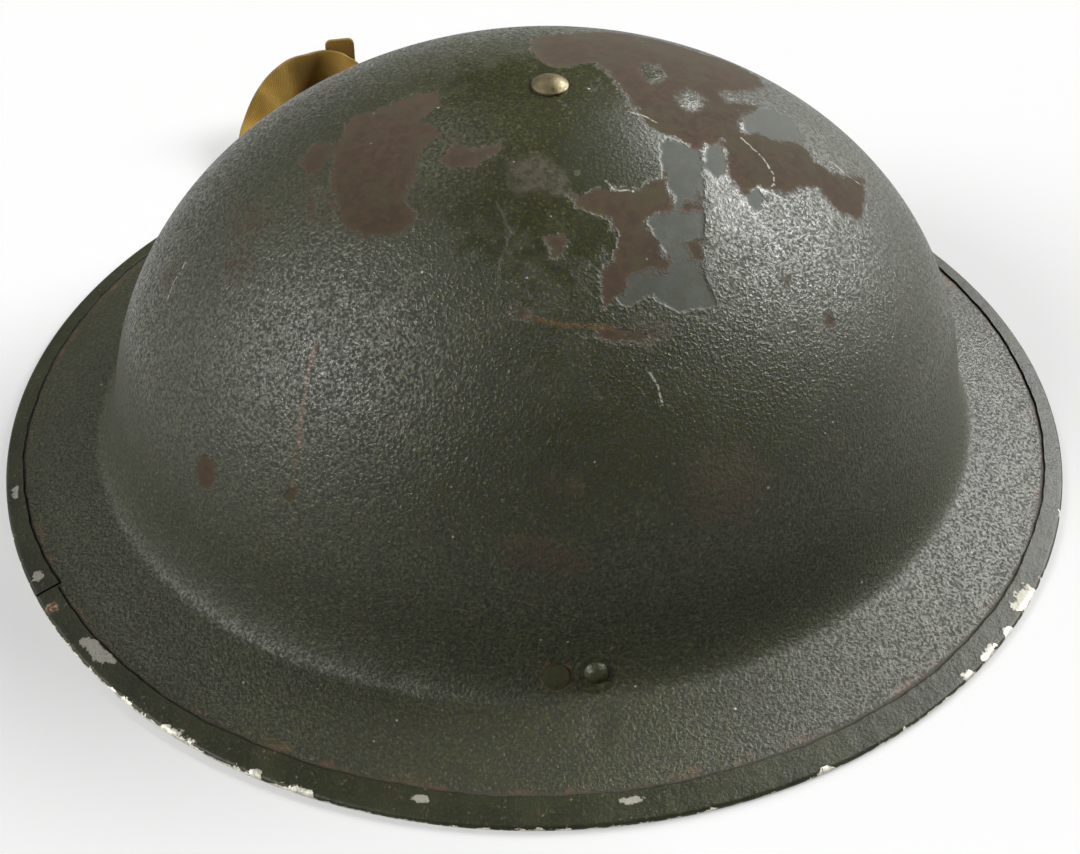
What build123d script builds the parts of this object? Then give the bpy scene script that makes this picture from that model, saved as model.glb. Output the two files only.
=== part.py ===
from build123d import *
import math
import os

# A soldier's broad-brimmed helmet of pressed steel, with its liner and chin strap.
# +X is the front, -Y the wearer's right side and +Z up.
# The origin is the middle of the brim's rest plane.

# Steel shell
brim_length = 310.0
brim_width = 286.0
crown_height = 113.0
shell_wall = 1.1
dome_length = 244.2
dome_width = 208.4
waist_height = 9.8
crease_height = 8.0
fillet_top = 27.0
brim_slope_share = 0.16
brim_fillet_share = 0.24
fillet_steps = 5
cut_overrun = 6.0

# Folded stainless strip round the brim
strip_gauge = 0.5
strip_leaf = 6.0
strip_clearance = 0.07
strip_reach = 0.1
strip_butt_gap = 0.7
strip_butt_angle = 203.0
strip_land_depth = 0.05
rest_arc_start = 215.0
rest_arc_end = 325.0
brim_flat_band = 9.0

# Crown screw and what it holds
screw_shank_radius = 1.9
screw_head_radius = 4.7
screw_head_rise = 2.3
screw_head_edge = 0.5
screw_hole_clearance = 0.2
screw_tail = 1.6
spacer_radius = 9.0
spacer_seat = 0.05
washer_radius = 8.0
washer_gauge = 1.0
nut_radius = 5.6
nut_height = 3.0
thread_clearance = 0.05

# Fibre cross straps that hang the liner from the crown
hanger_drop = 6.0
hanger_gauge = 1.2
hanger_width = 22.0
hanger_play = 0.1
hanger_foot = 31.0
foot_rivet_low = 35.5
foot_rivet_pitch = 6.5
foot_rivet_radius = 1.5
foot_rivet_head = 2.8
foot_rivet_rise = 0.9
rivet_clearance = 0.1

# Head band of the liner
band_length = 206.0
band_width = 172.0
band_gauge = 1.5
band_bottom = 26.0
band_top = 46.5
soft_clearance = 0.3

# Rubber buffers between the head band and the shell
buffer_angles = (32.0, 62.0, 118.0, 148.0, 212.0, 242.0, 298.0, 328.0)
buffer_bottom = 31.0
buffer_height = 15.0
buffer_width = 24.0
buffer_bore_radius = 3.2
buffer_reach = 30.0

# Leathercloth sweatband, folded round the lower edge of the head band
cloth_gauge = 1.2
sweatband_bottom = 24.0
sweatband_top = 44.0
sweatband_skirt = 7.0

# Leathercloth cradle with its drawn-in tongues
cradle_bottom = 38.0
cradle_spring = 46.0
cradle_crown_gap = 31.0
cradle_end_share = 0.27
tongue_count = 8
tongue_gap = 5.0
tongue_gap_bottom = 52.0
lace_radius = 1.1

# Rubber crown pad
pad_gauge = 8.0
pad_reach = 33.0
pad_arm = 26.0
pad_corner = 6.0
pad_pocket_radius = 9.5
pad_pocket_depth = 6.2

# Chin-strap lugs, one on each side of the shell
lug_offset = -7.0
lug_station_share = 0.5
lug_width = 24.0
lug_height = 10.0
lug_gauge = 1.5
lug_seat = 1.05
lug_corner = 2.0
lug_rivet_pitch = 10.0
lug_rivet_radius = 1.5
lug_rivet_head = 3.0
lug_rivet_rise = 1.7
lug_rivet_seat = 0.28
flush_rivet_head = 3.4
flush_rivet_rise = 0.25
lug_clench_radius = 2.3
lug_clench_rise = 0.7
knuckle_radius = 2.3
knuckle_length = 4.0
knuckle_height = 1.6
hinge_clearance = 0.05

# Wire loop that swings in each lug
wire_radius = 1.1
loop_width = 30.4
loop_length = 14.0
loop_corner = 3.0
loop_stub = 7.1
loop_rest_droop = 18.0

# Chin strap of webbing
strap_width = 25.0
strap_gauge = 1.5
tab_tail = 9.0
tab_clearance = 0.3
tab_gap = 0.35
strap_lie = -0.95
slider_run = 44.0
slider_run_x = -88.0
slider_run_y = -12.0
slider_run_lift = 4.2
slider_run_roll = 40.0
steps_per_run = 3
tail_length = 10.4
tail_lift = 3.7
tail_corner = 2.2
tail_x = -48.8
tail_y = 170.6
tail_turn = 2.0

# Slide buckle on the chin strap
slider_rim = 2.6
slider_gauge = 1.6
slider_length = 9.0
slider_play = 0.35
slider_corner = 1.4

# Values worked out from the sizes above
dome_rx = dome_length / 2
dome_ry = dome_width / 2
fold_radius = shell_wall / 2 + strip_clearance + strip_gauge
edge_rx = brim_length / 2 - fold_radius + strip_reach
edge_ry = brim_width / 2 - fold_radius + strip_reach
fold_height = fold_radius - strip_land_depth
edge_top = fold_height - strip_reach * brim_slope_share + shell_wall / 2
dome_rise = crown_height - waist_height
cradle_rise = crown_height - cradle_crown_gap - cradle_spring
screw_hole_radius = screw_shank_radius + screw_hole_clearance
band_rx = band_length / 2
band_ry = band_width / 2

os.makedirs("parts", exist_ok=True)


def save(builder, name):
    builder.part.label = name
    export_step(builder.part, f"parts/{name}.step")


def bezier(start, middle, end, along):
    back = 1 - along
    return back**2 * start + 2 * back * along * middle + along**2 * end


def fillet_start(inset):
    """Shares of the dome's half sizes where the fillet starts and at its corner."""
    rise = dome_rise - inset
    sine = (fillet_top - waist_height) / rise
    share = math.sqrt(1 - sine**2)
    corner_share = share + (fillet_top - crease_height + inset) / rise * sine / share
    return share, corner_share


def fillet_point(inset, along):
    """Half length, half width and height of the shell's face at a share along the fillet."""
    share, corner_share = fillet_start(inset)
    point = []
    for dome_half, brim_half in ((dome_rx, edge_rx), (dome_ry, edge_ry)):
        outer_corner = dome_half * fillet_start(0)[1]
        end = outer_corner + (brim_half - brim_flat_band - outer_corner) * brim_fillet_share
        start = (dome_half - inset) * share
        point.append(bezier(start, (dome_half - inset) * corner_share, end, along))
    corner_z = crease_height - inset
    band_z = edge_top + brim_flat_band * brim_slope_share - inset
    end_z = corner_z + (band_z - corner_z) * brim_fillet_share
    point.append(bezier(fillet_top, corner_z, end_z, along))
    return point


def half_round(rx, ry, rise, centre, bottom):
    """Top of an ellipsoid, cut level at the bottom height."""
    with BuildPart() as cap:
        Sphere(1)
        scale(by=(rx, ry, rise))
        split(bisect_by=Plane.XY.offset(bottom - centre), keep=Keep.TOP)
    return Pos(0, 0, centre) * cap.part


def shell_body(inset, run_out):
    """Solid under the shell's face: dome, fillet and brim, run out past the brim's edge."""
    rise = dome_rise - inset
    cap = half_round(dome_rx - inset, dome_ry - inset, rise, waist_height, fillet_top)
    brim_rows = [fillet_point(inset, 1)]
    for reach in (-brim_flat_band, run_out):
        height = edge_top - inset - reach * brim_slope_share
        brim_rows.append([edge_rx + reach, edge_ry + reach, height])
    with BuildPart() as body:
        add(cap)
        for step in range(fillet_steps + 1):
            rx, ry, z = fillet_point(inset, step / fillet_steps)
            with BuildSketch(Plane.XY.offset(z)):
                Ellipse(rx, ry)
        loft()
        for rx, ry, z in brim_rows:
            with BuildSketch(Plane.XY.offset(z)):
                Ellipse(rx, ry)
        loft(ruled=True)
        with BuildSketch(Plane.XY.offset(brim_rows[-1][2])):
            Ellipse(edge_rx + run_out, edge_ry + run_out)
        extrude(amount=-2 * shell_wall)
    return body.part


# Place and slope of the lug on the fillet, seen in the plane across the helmet
lug_outer = fillet_point(0, lug_station_share)
lug_ahead = fillet_point(0, lug_station_share + 1 / fillet_steps)
lug_behind = fillet_point(0, lug_station_share - 1 / fillet_steps)
lug_run = Vector(0, -(lug_ahead[1] - lug_behind[1]), lug_ahead[2] - lug_behind[2]).normalized()
lug_out = Vector(0, lug_run.Z, -lug_run.Y)
lug_root = Vector(lug_offset, -lug_outer[1], lug_outer[2])
lug_back = lug_root - lug_out * (shell_wall + lug_seat)
pivot = lug_back - lug_out * (lug_gauge + knuckle_height)
rivet_places = (lug_offset + lug_rivet_pitch / 2, lug_offset - lug_rivet_pitch / 2)

# Pressed shell: the solid under its outer face less the solid under its inner face
shell_outside = shell_body(0, 0)
shell_inside = shell_body(shell_wall, cut_overrun)
with BuildPart() as shell:
    add(shell_outside)
    add(shell_inside, mode=Mode.SUBTRACT)
    with BuildSketch(Plane.XY.offset(crown_height - cut_overrun)):
        Circle(screw_hole_radius)
    extrude(amount=2 * cut_overrun, mode=Mode.SUBTRACT)
    for side in (1, -1):
        for place in rivet_places:
            root = Vector(place, lug_root.Y * side, lug_root.Z)
            out = Vector(0, lug_out.Y * side, lug_out.Z)
            with BuildSketch(Plane(origin=root - out * cut_overrun, z_dir=out)):
                Circle(lug_rivet_radius + rivet_clearance)
            extrude(amount=2 * cut_overrun, mode=Mode.SUBTRACT)
save(shell, "shell")


# Folded strip round the brim, with a butt joint at the rear left
slope = math.atan(brim_slope_share)
leaf = Vector(-math.cos(slope), math.sin(slope)) * strip_leaf
across = Vector(math.sin(slope), math.cos(slope))
fold = Vector(-fold_radius, fold_height)
slot_radius = fold_radius - strip_gauge
butt_half = math.degrees(strip_butt_gap / brim_length)
strip_angles = (
    strip_butt_angle + butt_half,
    rest_arc_start,
    rest_arc_end,
    strip_butt_angle + 360 - butt_half,
)
with BuildLine() as strip_path:
    for first, last in zip(strip_angles, strip_angles[1:]):
        EllipticalCenterArc(
            (0, 0), brim_length / 2, brim_width / 2, start_angle=first, arc_size=last - first
        )
path = strip_path.wire()
start_plane = Plane(
    origin=path @ 0, x_dir=(path % 0).cross(Vector(0, 0, 1)), z_dir=-(path % 0)
)
with BuildPart() as rim_strip:
    with BuildSketch(start_plane):
        with BuildLine():
            Polyline(
                fold + across * fold_radius,
                fold + across * fold_radius + leaf,
                fold + across * slot_radius + leaf,
                fold + across * slot_radius,
            )
            ThreePointArc(
                fold + across * slot_radius,
                fold + Vector(math.cos(slope), -math.sin(slope)) * slot_radius,
                fold - across * slot_radius,
            )
            Polyline(
                fold - across * slot_radius,
                fold - across * slot_radius + leaf,
                fold - across * fold_radius + leaf,
                fold - across * fold_radius,
            )
            ThreePointArc(
                fold - across * fold_radius,
                fold + Vector(math.cos(slope), -math.sin(slope)) * fold_radius,
                fold + across * fold_radius,
            )
        make_face()
        with Locations((-strip_leaf / 2, -cut_overrun / 2)):
            Rectangle(3 * strip_leaf, cut_overrun, mode=Mode.SUBTRACT)
    sweep(path=path, clean=False)
save(rim_strip, "rim_strip")

# Domed brass crown screw
with BuildPart() as crown_screw:
    spacer_top = waist_height + (dome_rise - shell_wall) * math.sqrt(
        1 - (spacer_radius / (dome_ry - shell_wall)) ** 2
    )
    hanger_top = crown_height - shell_wall - hanger_drop
    side_drop = (dome_rise - shell_wall - hanger_drop - hanger_gauge) * (
        1
        - math.sqrt(
            1 - (hanger_width / 2 / (dome_rx - shell_wall - hanger_drop - hanger_gauge)) ** 2
        )
    )
    side_top = hanger_top - hanger_gauge - side_drop - hanger_play
    side_sag = (side_top - hanger_gauge - waist_height) * (
        1 - math.sqrt(1 - (washer_radius / (band_ry - hanger_gauge)) ** 2)
    )
    washer_top = side_top - hanger_gauge - side_sag
    nut_top = washer_top - washer_gauge
    screw_end = nut_top - nut_height - screw_tail
    with BuildSketch(Plane.XZ):
        with BuildLine():
            Polyline(
                (0, crown_height + screw_head_rise),
                (0, screw_end),
                (screw_shank_radius, screw_end),
                (screw_shank_radius, crown_height),
                (screw_head_radius, crown_height),
                (screw_head_radius, crown_height + screw_head_edge),
            )
            RadiusArc(
                (screw_head_radius, crown_height + screw_head_edge),
                (0, crown_height + screw_head_rise),
                -(screw_head_radius**2 + (screw_head_rise - screw_head_edge) ** 2)
                / (2 * (screw_head_rise - screw_head_edge)),
            )
        make_face()
    revolve(axis=Axis.Z)
save(crown_screw, "crown_screw")

# Fibre spacer between the shell and the cross straps
with BuildPart() as crown_spacer:
    with BuildSketch(Plane.XY.offset(hanger_top + hanger_play)):
        Circle(spacer_radius)
        Circle(screw_hole_radius, mode=Mode.SUBTRACT)
    extrude(amount=spacer_top - spacer_seat - hanger_top - hanger_play)
save(crown_spacer, "crown_spacer")

with BuildPart() as crown_washer:
    with BuildSketch(Plane.XY.offset(nut_top)):
        Circle(washer_radius)
        Circle(screw_hole_radius, mode=Mode.SUBTRACT)
    extrude(amount=washer_gauge)
save(crown_washer, "crown_washer")

with BuildPart() as crown_nut:
    with BuildSketch(Plane.XY.offset(nut_top - nut_height)):
        RegularPolygon(nut_radius, 6)
        Circle(screw_shank_radius + thread_clearance, mode=Mode.SUBTRACT)
    extrude(amount=nut_height)
    chamfer(crown_nut.faces().sort_by(Axis.Z)[0].outer_wire().edges(), length=screw_head_edge)
save(crown_nut, "crown_nut")


def hanger(plane, half_span, top, half_band):
    """Cross strap: an elliptical arch over the head with a leg down each side of the band."""
    inner_half = half_span - hanger_gauge
    inner_rise = top - hanger_gauge - waist_height
    leg_face = half_band + hanger_play
    join = waist_height + inner_rise * math.sqrt(1 - (leg_face / inner_half) ** 2)
    outer_join = waist_height + (top - waist_height) * math.sqrt(
        1 - ((leg_face + hanger_gauge) / half_span) ** 2
    )
    with BuildPart() as strap:
        with BuildSketch(plane):
            with BuildLine():
                for half, rise, reach in (
                    (half_span, top - waist_height, leg_face + hanger_gauge),
                    (inner_half, inner_rise, leg_face),
                ):
                    bearing = math.degrees(math.acos(reach / half))
                    EllipticalCenterArc(
                        (0, waist_height), half, rise, start_angle=bearing, arc_size=180 - 2 * bearing
                    )
                for sign in (1, -1):
                    Polyline(
                        (sign * leg_face, join),
                        (sign * leg_face, hanger_foot),
                        (sign * (leg_face + hanger_gauge), hanger_foot),
                        (sign * (leg_face + hanger_gauge), outer_join),
                    )
            make_face()
        extrude(amount=hanger_width / 2, both=True)
        with BuildSketch(Plane.XY.offset(top - cut_overrun)):
            Circle(screw_hole_radius)
        extrude(amount=2 * cut_overrun, mode=Mode.SUBTRACT)
        for row in range(2):
            height = foot_rivet_low + row * foot_rivet_pitch
            with BuildSketch(Plane(origin=(0, 0, height), z_dir=plane.x_dir)):
                Circle(foot_rivet_radius + rivet_clearance)
            extrude(amount=half_span, both=True, mode=Mode.SUBTRACT)
    return strap


hanger_long = hanger(Plane.XZ, dome_rx - shell_wall - hanger_drop, hanger_top, band_rx)
save(hanger_long, "hanger_long")
hanger_side = hanger(
    Plane.YZ, dome_ry - shell_wall - (crown_height - shell_wall - side_top), side_top, band_ry
)
save(hanger_side, "hanger_side")


# Fibre head band, drilled for the rivets of the cross straps
with BuildPart() as head_band:
    with BuildSketch(Plane.XY.offset(band_bottom)):
        Ellipse(band_rx, band_ry)
        Ellipse(band_rx - band_gauge, band_ry - band_gauge, mode=Mode.SUBTRACT)
    extrude(amount=band_top - band_bottom)
    for row in range(2):
        for direction in ((1, 0, 0), (-1, 0, 0), (0, 1, 0), (0, -1, 0)):
            height = foot_rivet_low + row * foot_rivet_pitch
            with BuildSketch(Plane(origin=(0, 0, height), z_dir=direction)):
                Circle(foot_rivet_radius + rivet_clearance)
            extrude(amount=band_length, mode=Mode.SUBTRACT)
save(head_band, "head_band")

# Rivets that join the cross straps to the head band
with BuildPart() as band_rivets:
    for row in range(2):
        height = foot_rivet_low + row * foot_rivet_pitch
        for half_band, direction in (
            (band_rx, Vector(1, 0, 0)),
            (band_rx, Vector(-1, 0, 0)),
            (band_ry, Vector(0, 1, 0)),
            (band_ry, Vector(0, -1, 0)),
        ):
            inner_face = direction * (half_band - band_gauge) + Vector(0, 0, height)
            head_face = half_band + 2 * hanger_play + hanger_gauge
            with BuildSketch(Plane(origin=inner_face, z_dir=direction)):
                Circle(foot_rivet_radius)
            extrude(amount=head_face - half_band + band_gauge)
            with BuildSketch(Plane(origin=direction * head_face + Vector(0, 0, height), z_dir=direction)):
                Circle(foot_rivet_head)
            extrude(amount=foot_rivet_rise, taper=35)
save(band_rivets, "band_rivets")

# Rubber buffers, each a tube-shaped block that bears on the shell and the head band
buffer_outside = half_round(
    dome_rx - shell_wall - soft_clearance,
    dome_ry - shell_wall - soft_clearance,
    dome_rise - shell_wall - soft_clearance,
    waist_height,
    buffer_bottom,
)
with BuildPart() as buffer_ring:
    add(buffer_outside)
    split(bisect_by=Plane.XY.offset(buffer_bottom + buffer_height), keep=Keep.BOTTOM)
    with BuildSketch(Plane.XY.offset(buffer_bottom)):
        Ellipse(band_rx + soft_clearance, band_ry + soft_clearance)
    extrude(amount=buffer_height, mode=Mode.SUBTRACT)

for number, angle in enumerate(buffer_angles, 1):
    turn = math.radians(angle)
    middle = Vector(
        (band_rx + dome_rx) / 2 * math.cos(turn), (band_ry + dome_ry) / 2 * math.sin(turn)
    )
    outward = Vector(math.cos(turn) / dome_rx, math.sin(turn) / dome_ry).normalized()
    with BuildPart() as rubber_buffer:
        add(buffer_ring.part)
        with BuildSketch(Plane(origin=middle, x_dir=outward, z_dir=(0, 0, 1))):
            RectangleRounded(buffer_reach, buffer_width, pad_corner)
            Circle(buffer_bore_radius, mode=Mode.SUBTRACT)
        extrude(amount=crown_height, mode=Mode.INTERSECT)
    save(rubber_buffer, f"rubber_buffer_{number}")

# Leathercloth sweatband folded round the lower edge of the head band
with BuildPart() as sweatband:
    lining = band_gauge + soft_clearance
    skirt = soft_clearance + cloth_gauge
    with BuildSketch(Plane.XY.offset(sweatband_bottom)):
        Ellipse(band_rx + skirt, band_ry + skirt)
    extrude(amount=sweatband_skirt)
    with BuildSketch(Plane.XY.offset(sweatband_bottom)):
        Ellipse(band_rx - lining, band_ry - lining)
    extrude(amount=sweatband_top - sweatband_bottom)
    with BuildSketch(Plane.XY.offset(sweatband_bottom + cloth_gauge)):
        Ellipse(band_rx + soft_clearance, band_ry + soft_clearance)
        Ellipse(band_rx - lining, band_ry - lining, mode=Mode.SUBTRACT)
    extrude(amount=sweatband_top, mode=Mode.SUBTRACT)
    with BuildSketch(Plane.XY.offset(sweatband_bottom)):
        Ellipse(band_rx - lining - cloth_gauge, band_ry - lining - cloth_gauge)
    extrude(amount=sweatband_top, mode=Mode.SUBTRACT)
save(sweatband, "sweatband")

# Leathercloth cradle: a ring stitched inside the sweatband, cut into tongues above
cradle_rx = band_rx - band_gauge - 2 * soft_clearance - cloth_gauge
cradle_ry = band_ry - band_gauge - 2 * soft_clearance - cloth_gauge


def cradle_body(inset):
    """Solid under the cradle's face: an upright foot with a half-round top."""
    rise = cradle_rise - inset
    cap = half_round(cradle_rx - inset, cradle_ry - inset, rise, cradle_spring, cradle_spring)
    with BuildPart() as body:
        add(cap)
        with BuildSketch(Plane.XY.offset(cradle_bottom)):
            Ellipse(cradle_rx - inset, cradle_ry - inset)
        extrude(amount=cradle_spring - cradle_bottom)
    return body.part


cradle_outside = cradle_body(0)
cradle_inside = cradle_body(cloth_gauge)
with BuildPart() as cradle:
    add(cradle_outside)
    add(cradle_inside, mode=Mode.SUBTRACT)
    with BuildSketch(Plane.XY.offset(cradle_bottom - cut_overrun)):
        Ellipse(cradle_rx * cradle_end_share, cradle_ry * cradle_end_share)
    extrude(amount=crown_height, mode=Mode.SUBTRACT)
    with BuildSketch(Plane.XY.offset(tongue_gap_bottom)):
        with PolarLocations(0, tongue_count, start_angle=180 / tongue_count):
            with Locations((cradle_rx, 0)):
                SlotCenterToCenter(2 * cradle_rx - tongue_gap, tongue_gap)
    extrude(amount=crown_height, mode=Mode.SUBTRACT)
save(cradle, "cradle")

# Lace drawn round the ends of the tongues
lace_share = cradle_end_share + 2 * lace_radius / cradle_ry
lace_height = cradle_spring + cradle_rise * math.sin(math.acos(lace_share)) + lace_radius
with BuildPart() as cradle_lace:
    with BuildLine(Plane.XY.offset(lace_height + soft_clearance)) as lace_path:
        EllipticalCenterArc(
            (0, 0), cradle_rx * lace_share, cradle_ry * lace_share, start_angle=0, arc_size=360
        )
    lace = lace_path.wire()
    with BuildSketch(Plane(origin=lace @ 0, z_dir=lace % 0)):
        Circle(lace_radius)
    sweep(path=lace)
save(cradle_lace, "cradle_lace")

# Rubber crown pad under the crossing of the straps
pad_half = dome_ry - shell_wall - (crown_height - shell_wall - side_top) - hanger_gauge
pad_top = side_top - hanger_gauge - soft_clearance
with BuildPart() as crown_pad:
    with BuildSketch(Plane.XZ):
        with BuildLine():
            pad_low = pad_top - pad_gauge
            edge_drop = (pad_top - waist_height) * (1 - math.sqrt(1 - (pad_reach / pad_half) ** 2))
            ThreePointArc(
                (-pad_reach, pad_top - edge_drop), (0, pad_top), (pad_reach, pad_top - edge_drop)
            )
            Line((pad_reach, pad_top - edge_drop), (pad_reach, pad_low - edge_drop))
            ThreePointArc(
                (pad_reach, pad_low - edge_drop), (0, pad_low), (-pad_reach, pad_low - edge_drop)
            )
            Line((-pad_reach, pad_low - edge_drop), (-pad_reach, pad_top - edge_drop))
        make_face()
        with Locations((-pad_reach, pad_top)):
            Rectangle(2 * pad_reach, crown_height, mode=Mode.SUBTRACT)
    revolve(axis=Axis.Z)
    with BuildSketch(Plane.XY):
        RectangleRounded(2 * pad_reach, pad_arm, pad_corner)
        RectangleRounded(pad_arm, 2 * pad_reach, pad_corner)
    extrude(amount=crown_height, mode=Mode.INTERSECT)
    with BuildSketch(Plane.XY.offset(pad_top - pad_pocket_depth)):
        Circle(pad_pocket_radius)
    extrude(amount=2 * pad_pocket_depth, mode=Mode.SUBTRACT)
save(crown_pad, "crown_pad")

# Chin-strap lug: a riveted plate with two rolled knuckles for the wire loop
lug_plane = Plane(origin=lug_back, x_dir=(1, 0, 0), z_dir=-lug_out)
with BuildPart() as lug_right:
    with BuildSketch(lug_plane):
        RectangleRounded(lug_width, lug_height, lug_corner)
    extrude(amount=lug_gauge)
    for side in (1, -1):
        inner = pivot + Vector(side * (lug_width / 2 - knuckle_length), 0, 0)
        with BuildSketch(Plane(origin=inner, z_dir=(side, 0, 0))):
            Circle(knuckle_radius)
        extrude(amount=knuckle_length)
    with BuildSketch(Plane(origin=pivot, z_dir=(1, 0, 0))):
        Circle(wire_radius + hinge_clearance)
    extrude(amount=lug_width, both=True, mode=Mode.SUBTRACT)
    for place in rivet_places:
        through = Vector(place, lug_back.Y, lug_back.Z)
        with BuildSketch(Plane(origin=through, z_dir=-lug_out)):
            Circle(lug_rivet_radius + rivet_clearance)
        extrude(amount=2 * lug_gauge, both=True, mode=Mode.SUBTRACT)
save(lug_right, "lug_right")

# Lug rivets: one domed on the outside, one hammered almost flush
with BuildPart() as lug_rivets_right:
    for place, head, rise in (
        (rivet_places[0], lug_rivet_head, lug_rivet_rise),
        (rivet_places[1], flush_rivet_head, flush_rivet_rise),
    ):
        seat = Vector(place, lug_root.Y, lug_root.Z) + lug_out * lug_rivet_seat
        grip = shell_wall + lug_seat + lug_gauge + lug_rivet_seat
        with BuildSketch(Plane(origin=seat, z_dir=-lug_out)):
            Circle(lug_rivet_radius)
        extrude(amount=grip)
        with BuildSketch(Plane(origin=seat - lug_out * grip, z_dir=-lug_out)):
            Circle(lug_clench_radius)
        extrude(amount=lug_clench_rise, taper=30)
        dome_plane = Plane(origin=seat, x_dir=(1, 0, 0), z_dir=(0, lug_run.Y, lug_run.Z))
        with BuildSketch(dome_plane):
            with BuildLine():
                ThreePointArc((-head, 0), (0, rise), (head, 0))
                Line((head, 0), (-head, 0))
            make_face()
            with Locations((-head, 0)):
                Rectangle(2 * head, 2 * rise + head, mode=Mode.SUBTRACT)
        revolve(axis=Axis(origin=seat, direction=lug_out))
save(lug_rivets_right, "lug_rivets_right")

# Wire loop that swings in the knuckles of the lug
droop = math.radians(loop_rest_droop)
loop_out = Vector(0, math.cos(droop), -math.sin(droop))
loop_plane = Plane(origin=pivot, x_dir=(1, 0, 0), z_dir=Vector(1, 0, 0).cross(loop_out))
with BuildPart() as loop_right:
    with BuildLine(loop_plane) as loop_path:
        half = loop_width / 2
        FilletPolyline(
            (half - loop_stub, 0),
            (half, 0),
            (half, loop_length),
            (-half, loop_length),
            (-half, 0),
            (loop_stub - half, 0),
            radius=loop_corner,
        )
    bent_wire = loop_path.wire()
    with BuildSketch(Plane(origin=bent_wire @ 0, z_dir=bent_wire % 0)):
        Circle(wire_radius)
    sweep(path=bent_wire)
save(loop_right, "loop_right")

# Sewn end of the webbing round the wire loop
bar = pivot + loop_out * loop_length
tab_plane = Plane(origin=bar, x_dir=loop_out, z_dir=(1, 0, 0))
with BuildPart() as strap_tab_right:
    with BuildSketch(tab_plane):
        Circle(wire_radius + tab_clearance + strap_gauge)
        with Locations((tab_tail / 2, 0)):
            Rectangle(tab_tail, 2 * strap_gauge)
        Circle(wire_radius + tab_clearance, mode=Mode.SUBTRACT)
    extrude(amount=strap_width / 2, both=True)
save(strap_tab_right, "strap_tab_right")

# The left side carries the same pieces, mirrored
for piece, name in (
    (lug_right, "lug_left"),
    (lug_rivets_right, "lug_rivets_left"),
    (loop_right, "loop_left"),
    (strap_tab_right, "strap_tab_left"),
):
    with BuildPart() as mirrored:
        mirror(piece.part, about=Plane.XZ)
    save(mirrored, name)

# Chin strap: the route of its middle line in plan, with the lift of the webbing's lower edge
# off the table and the webbing's twist in degrees, 0 where it lies flat and 90 where it stands,
# less than 0 where its outer edge is the upper one.
# It runs from the right loop round the back inside the dome, out under the far brim,
# round in an upright bight and back under the brim to the left loop.
strap_start = bar + loop_out * (tab_tail + tab_gap)
start_lift = strap_start.Z - strap_lie
route_in = (
    (strap_start.X, strap_start.Y, start_lift, 0),
    (-15, -63, 2.4, 22),
    (-38, -54, 2.6, 36),
    (-66, -43, 3.4, slider_run_roll),
    (slider_run_x, slider_run_y, slider_run_lift, slider_run_roll),
)
route_out = (
    (slider_run_x, slider_run_y + slider_run, slider_run_lift, slider_run_roll),
    (-85, 56, 1.8, 20),
    (-79, 80, 0.4, 0),
    (-76.4, 104, 0, 0),
    (-75.9, 125, 0, 0),
    (-74.6, 145, 0, -23),
    (-71.3, 154, 0, -50),
    (-67.1, 162, 0, -72),
    (-60, 167.7, 0, -88),
    (-52.6, 169.2, 0, -90),
    (-47.2, 165, 0, -88),
    (-46.8, 158, 0, -50),
    (-46, 152, 0, -15),
    (-44.8, 145.5, 0, 0),
    (-42.6, 130, 0, 0),
    (-42, 116, 0, 0),
    (-40, 96, 0.2, 4),
    (-35, 78, 0.6, 26),
    (-24, 67, 1.8, 40),
    (-12, 68, 3.0, 18),
    (strap_start.X, -strap_start.Y, start_lift, 0),
)


def strap_span(rows, first, last):
    """Stations along a smooth stretch of the route: place, way ahead and twist of each."""
    line = Spline(*[Vector(row[0], row[1]) for row in rows], tangents=(first, last))
    marks = [line.param_at_point(Vector(row[0], row[1])) for row in rows]
    count = (len(rows) - 1) * steps_per_run
    spans = []
    for step in range(count + 1):
        along = step / count
        after = 1
        while after < len(rows) - 1 and marks[after] < along:
            after += 1
        part = (along - marks[after - 1]) / (marks[after] - marks[after - 1])
        part = part * part * (3 - 2 * part)
        lift = rows[after - 1][2] + (rows[after][2] - rows[after - 1][2]) * part
        roll = math.radians(rows[after - 1][3] + (rows[after][3] - rows[after - 1][3]) * part)
        place = line @ along
        place.Z = strap_lie + lift + strap_width / 2 * abs(math.sin(roll))
        spans.append((place, line % along, roll))
    return spans


ahead = Vector(0, 1, 0)
stations = strap_span(route_in, ahead, ahead) + strap_span(route_out, ahead, ahead)
with BuildPart() as chin_strap:
    for place, way, roll in stations:
        level = way.cross(Vector(0, 0, 1)).normalized()
        width_way = level * math.cos(roll) + Vector(0, 0, 1) * math.sin(roll)
        with BuildSketch(Plane(origin=place, x_dir=width_way, z_dir=way)):
            Rectangle(strap_width, strap_gauge)
    loft(ruled=True)
    # The webbing's tail is doubled back over the bight and stands a little higher
    tail_angle = math.radians(tail_turn)
    tail_plane = Plane(
        origin=(tail_x, tail_y, strap_lie + tail_lift + strap_width / 2),
        x_dir=(math.cos(tail_angle), math.sin(tail_angle), 0),
        z_dir=(-math.sin(tail_angle), math.cos(tail_angle), 0),
    )
    with BuildSketch(tail_plane):
        RectangleRounded(tail_length, strap_width, tail_corner)
    extrude(amount=strap_gauge / 2, both=True)
save(chin_strap, "chin_strap")
print("strap length", chin_strap.part.volume / strap_width / strap_gauge)

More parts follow.
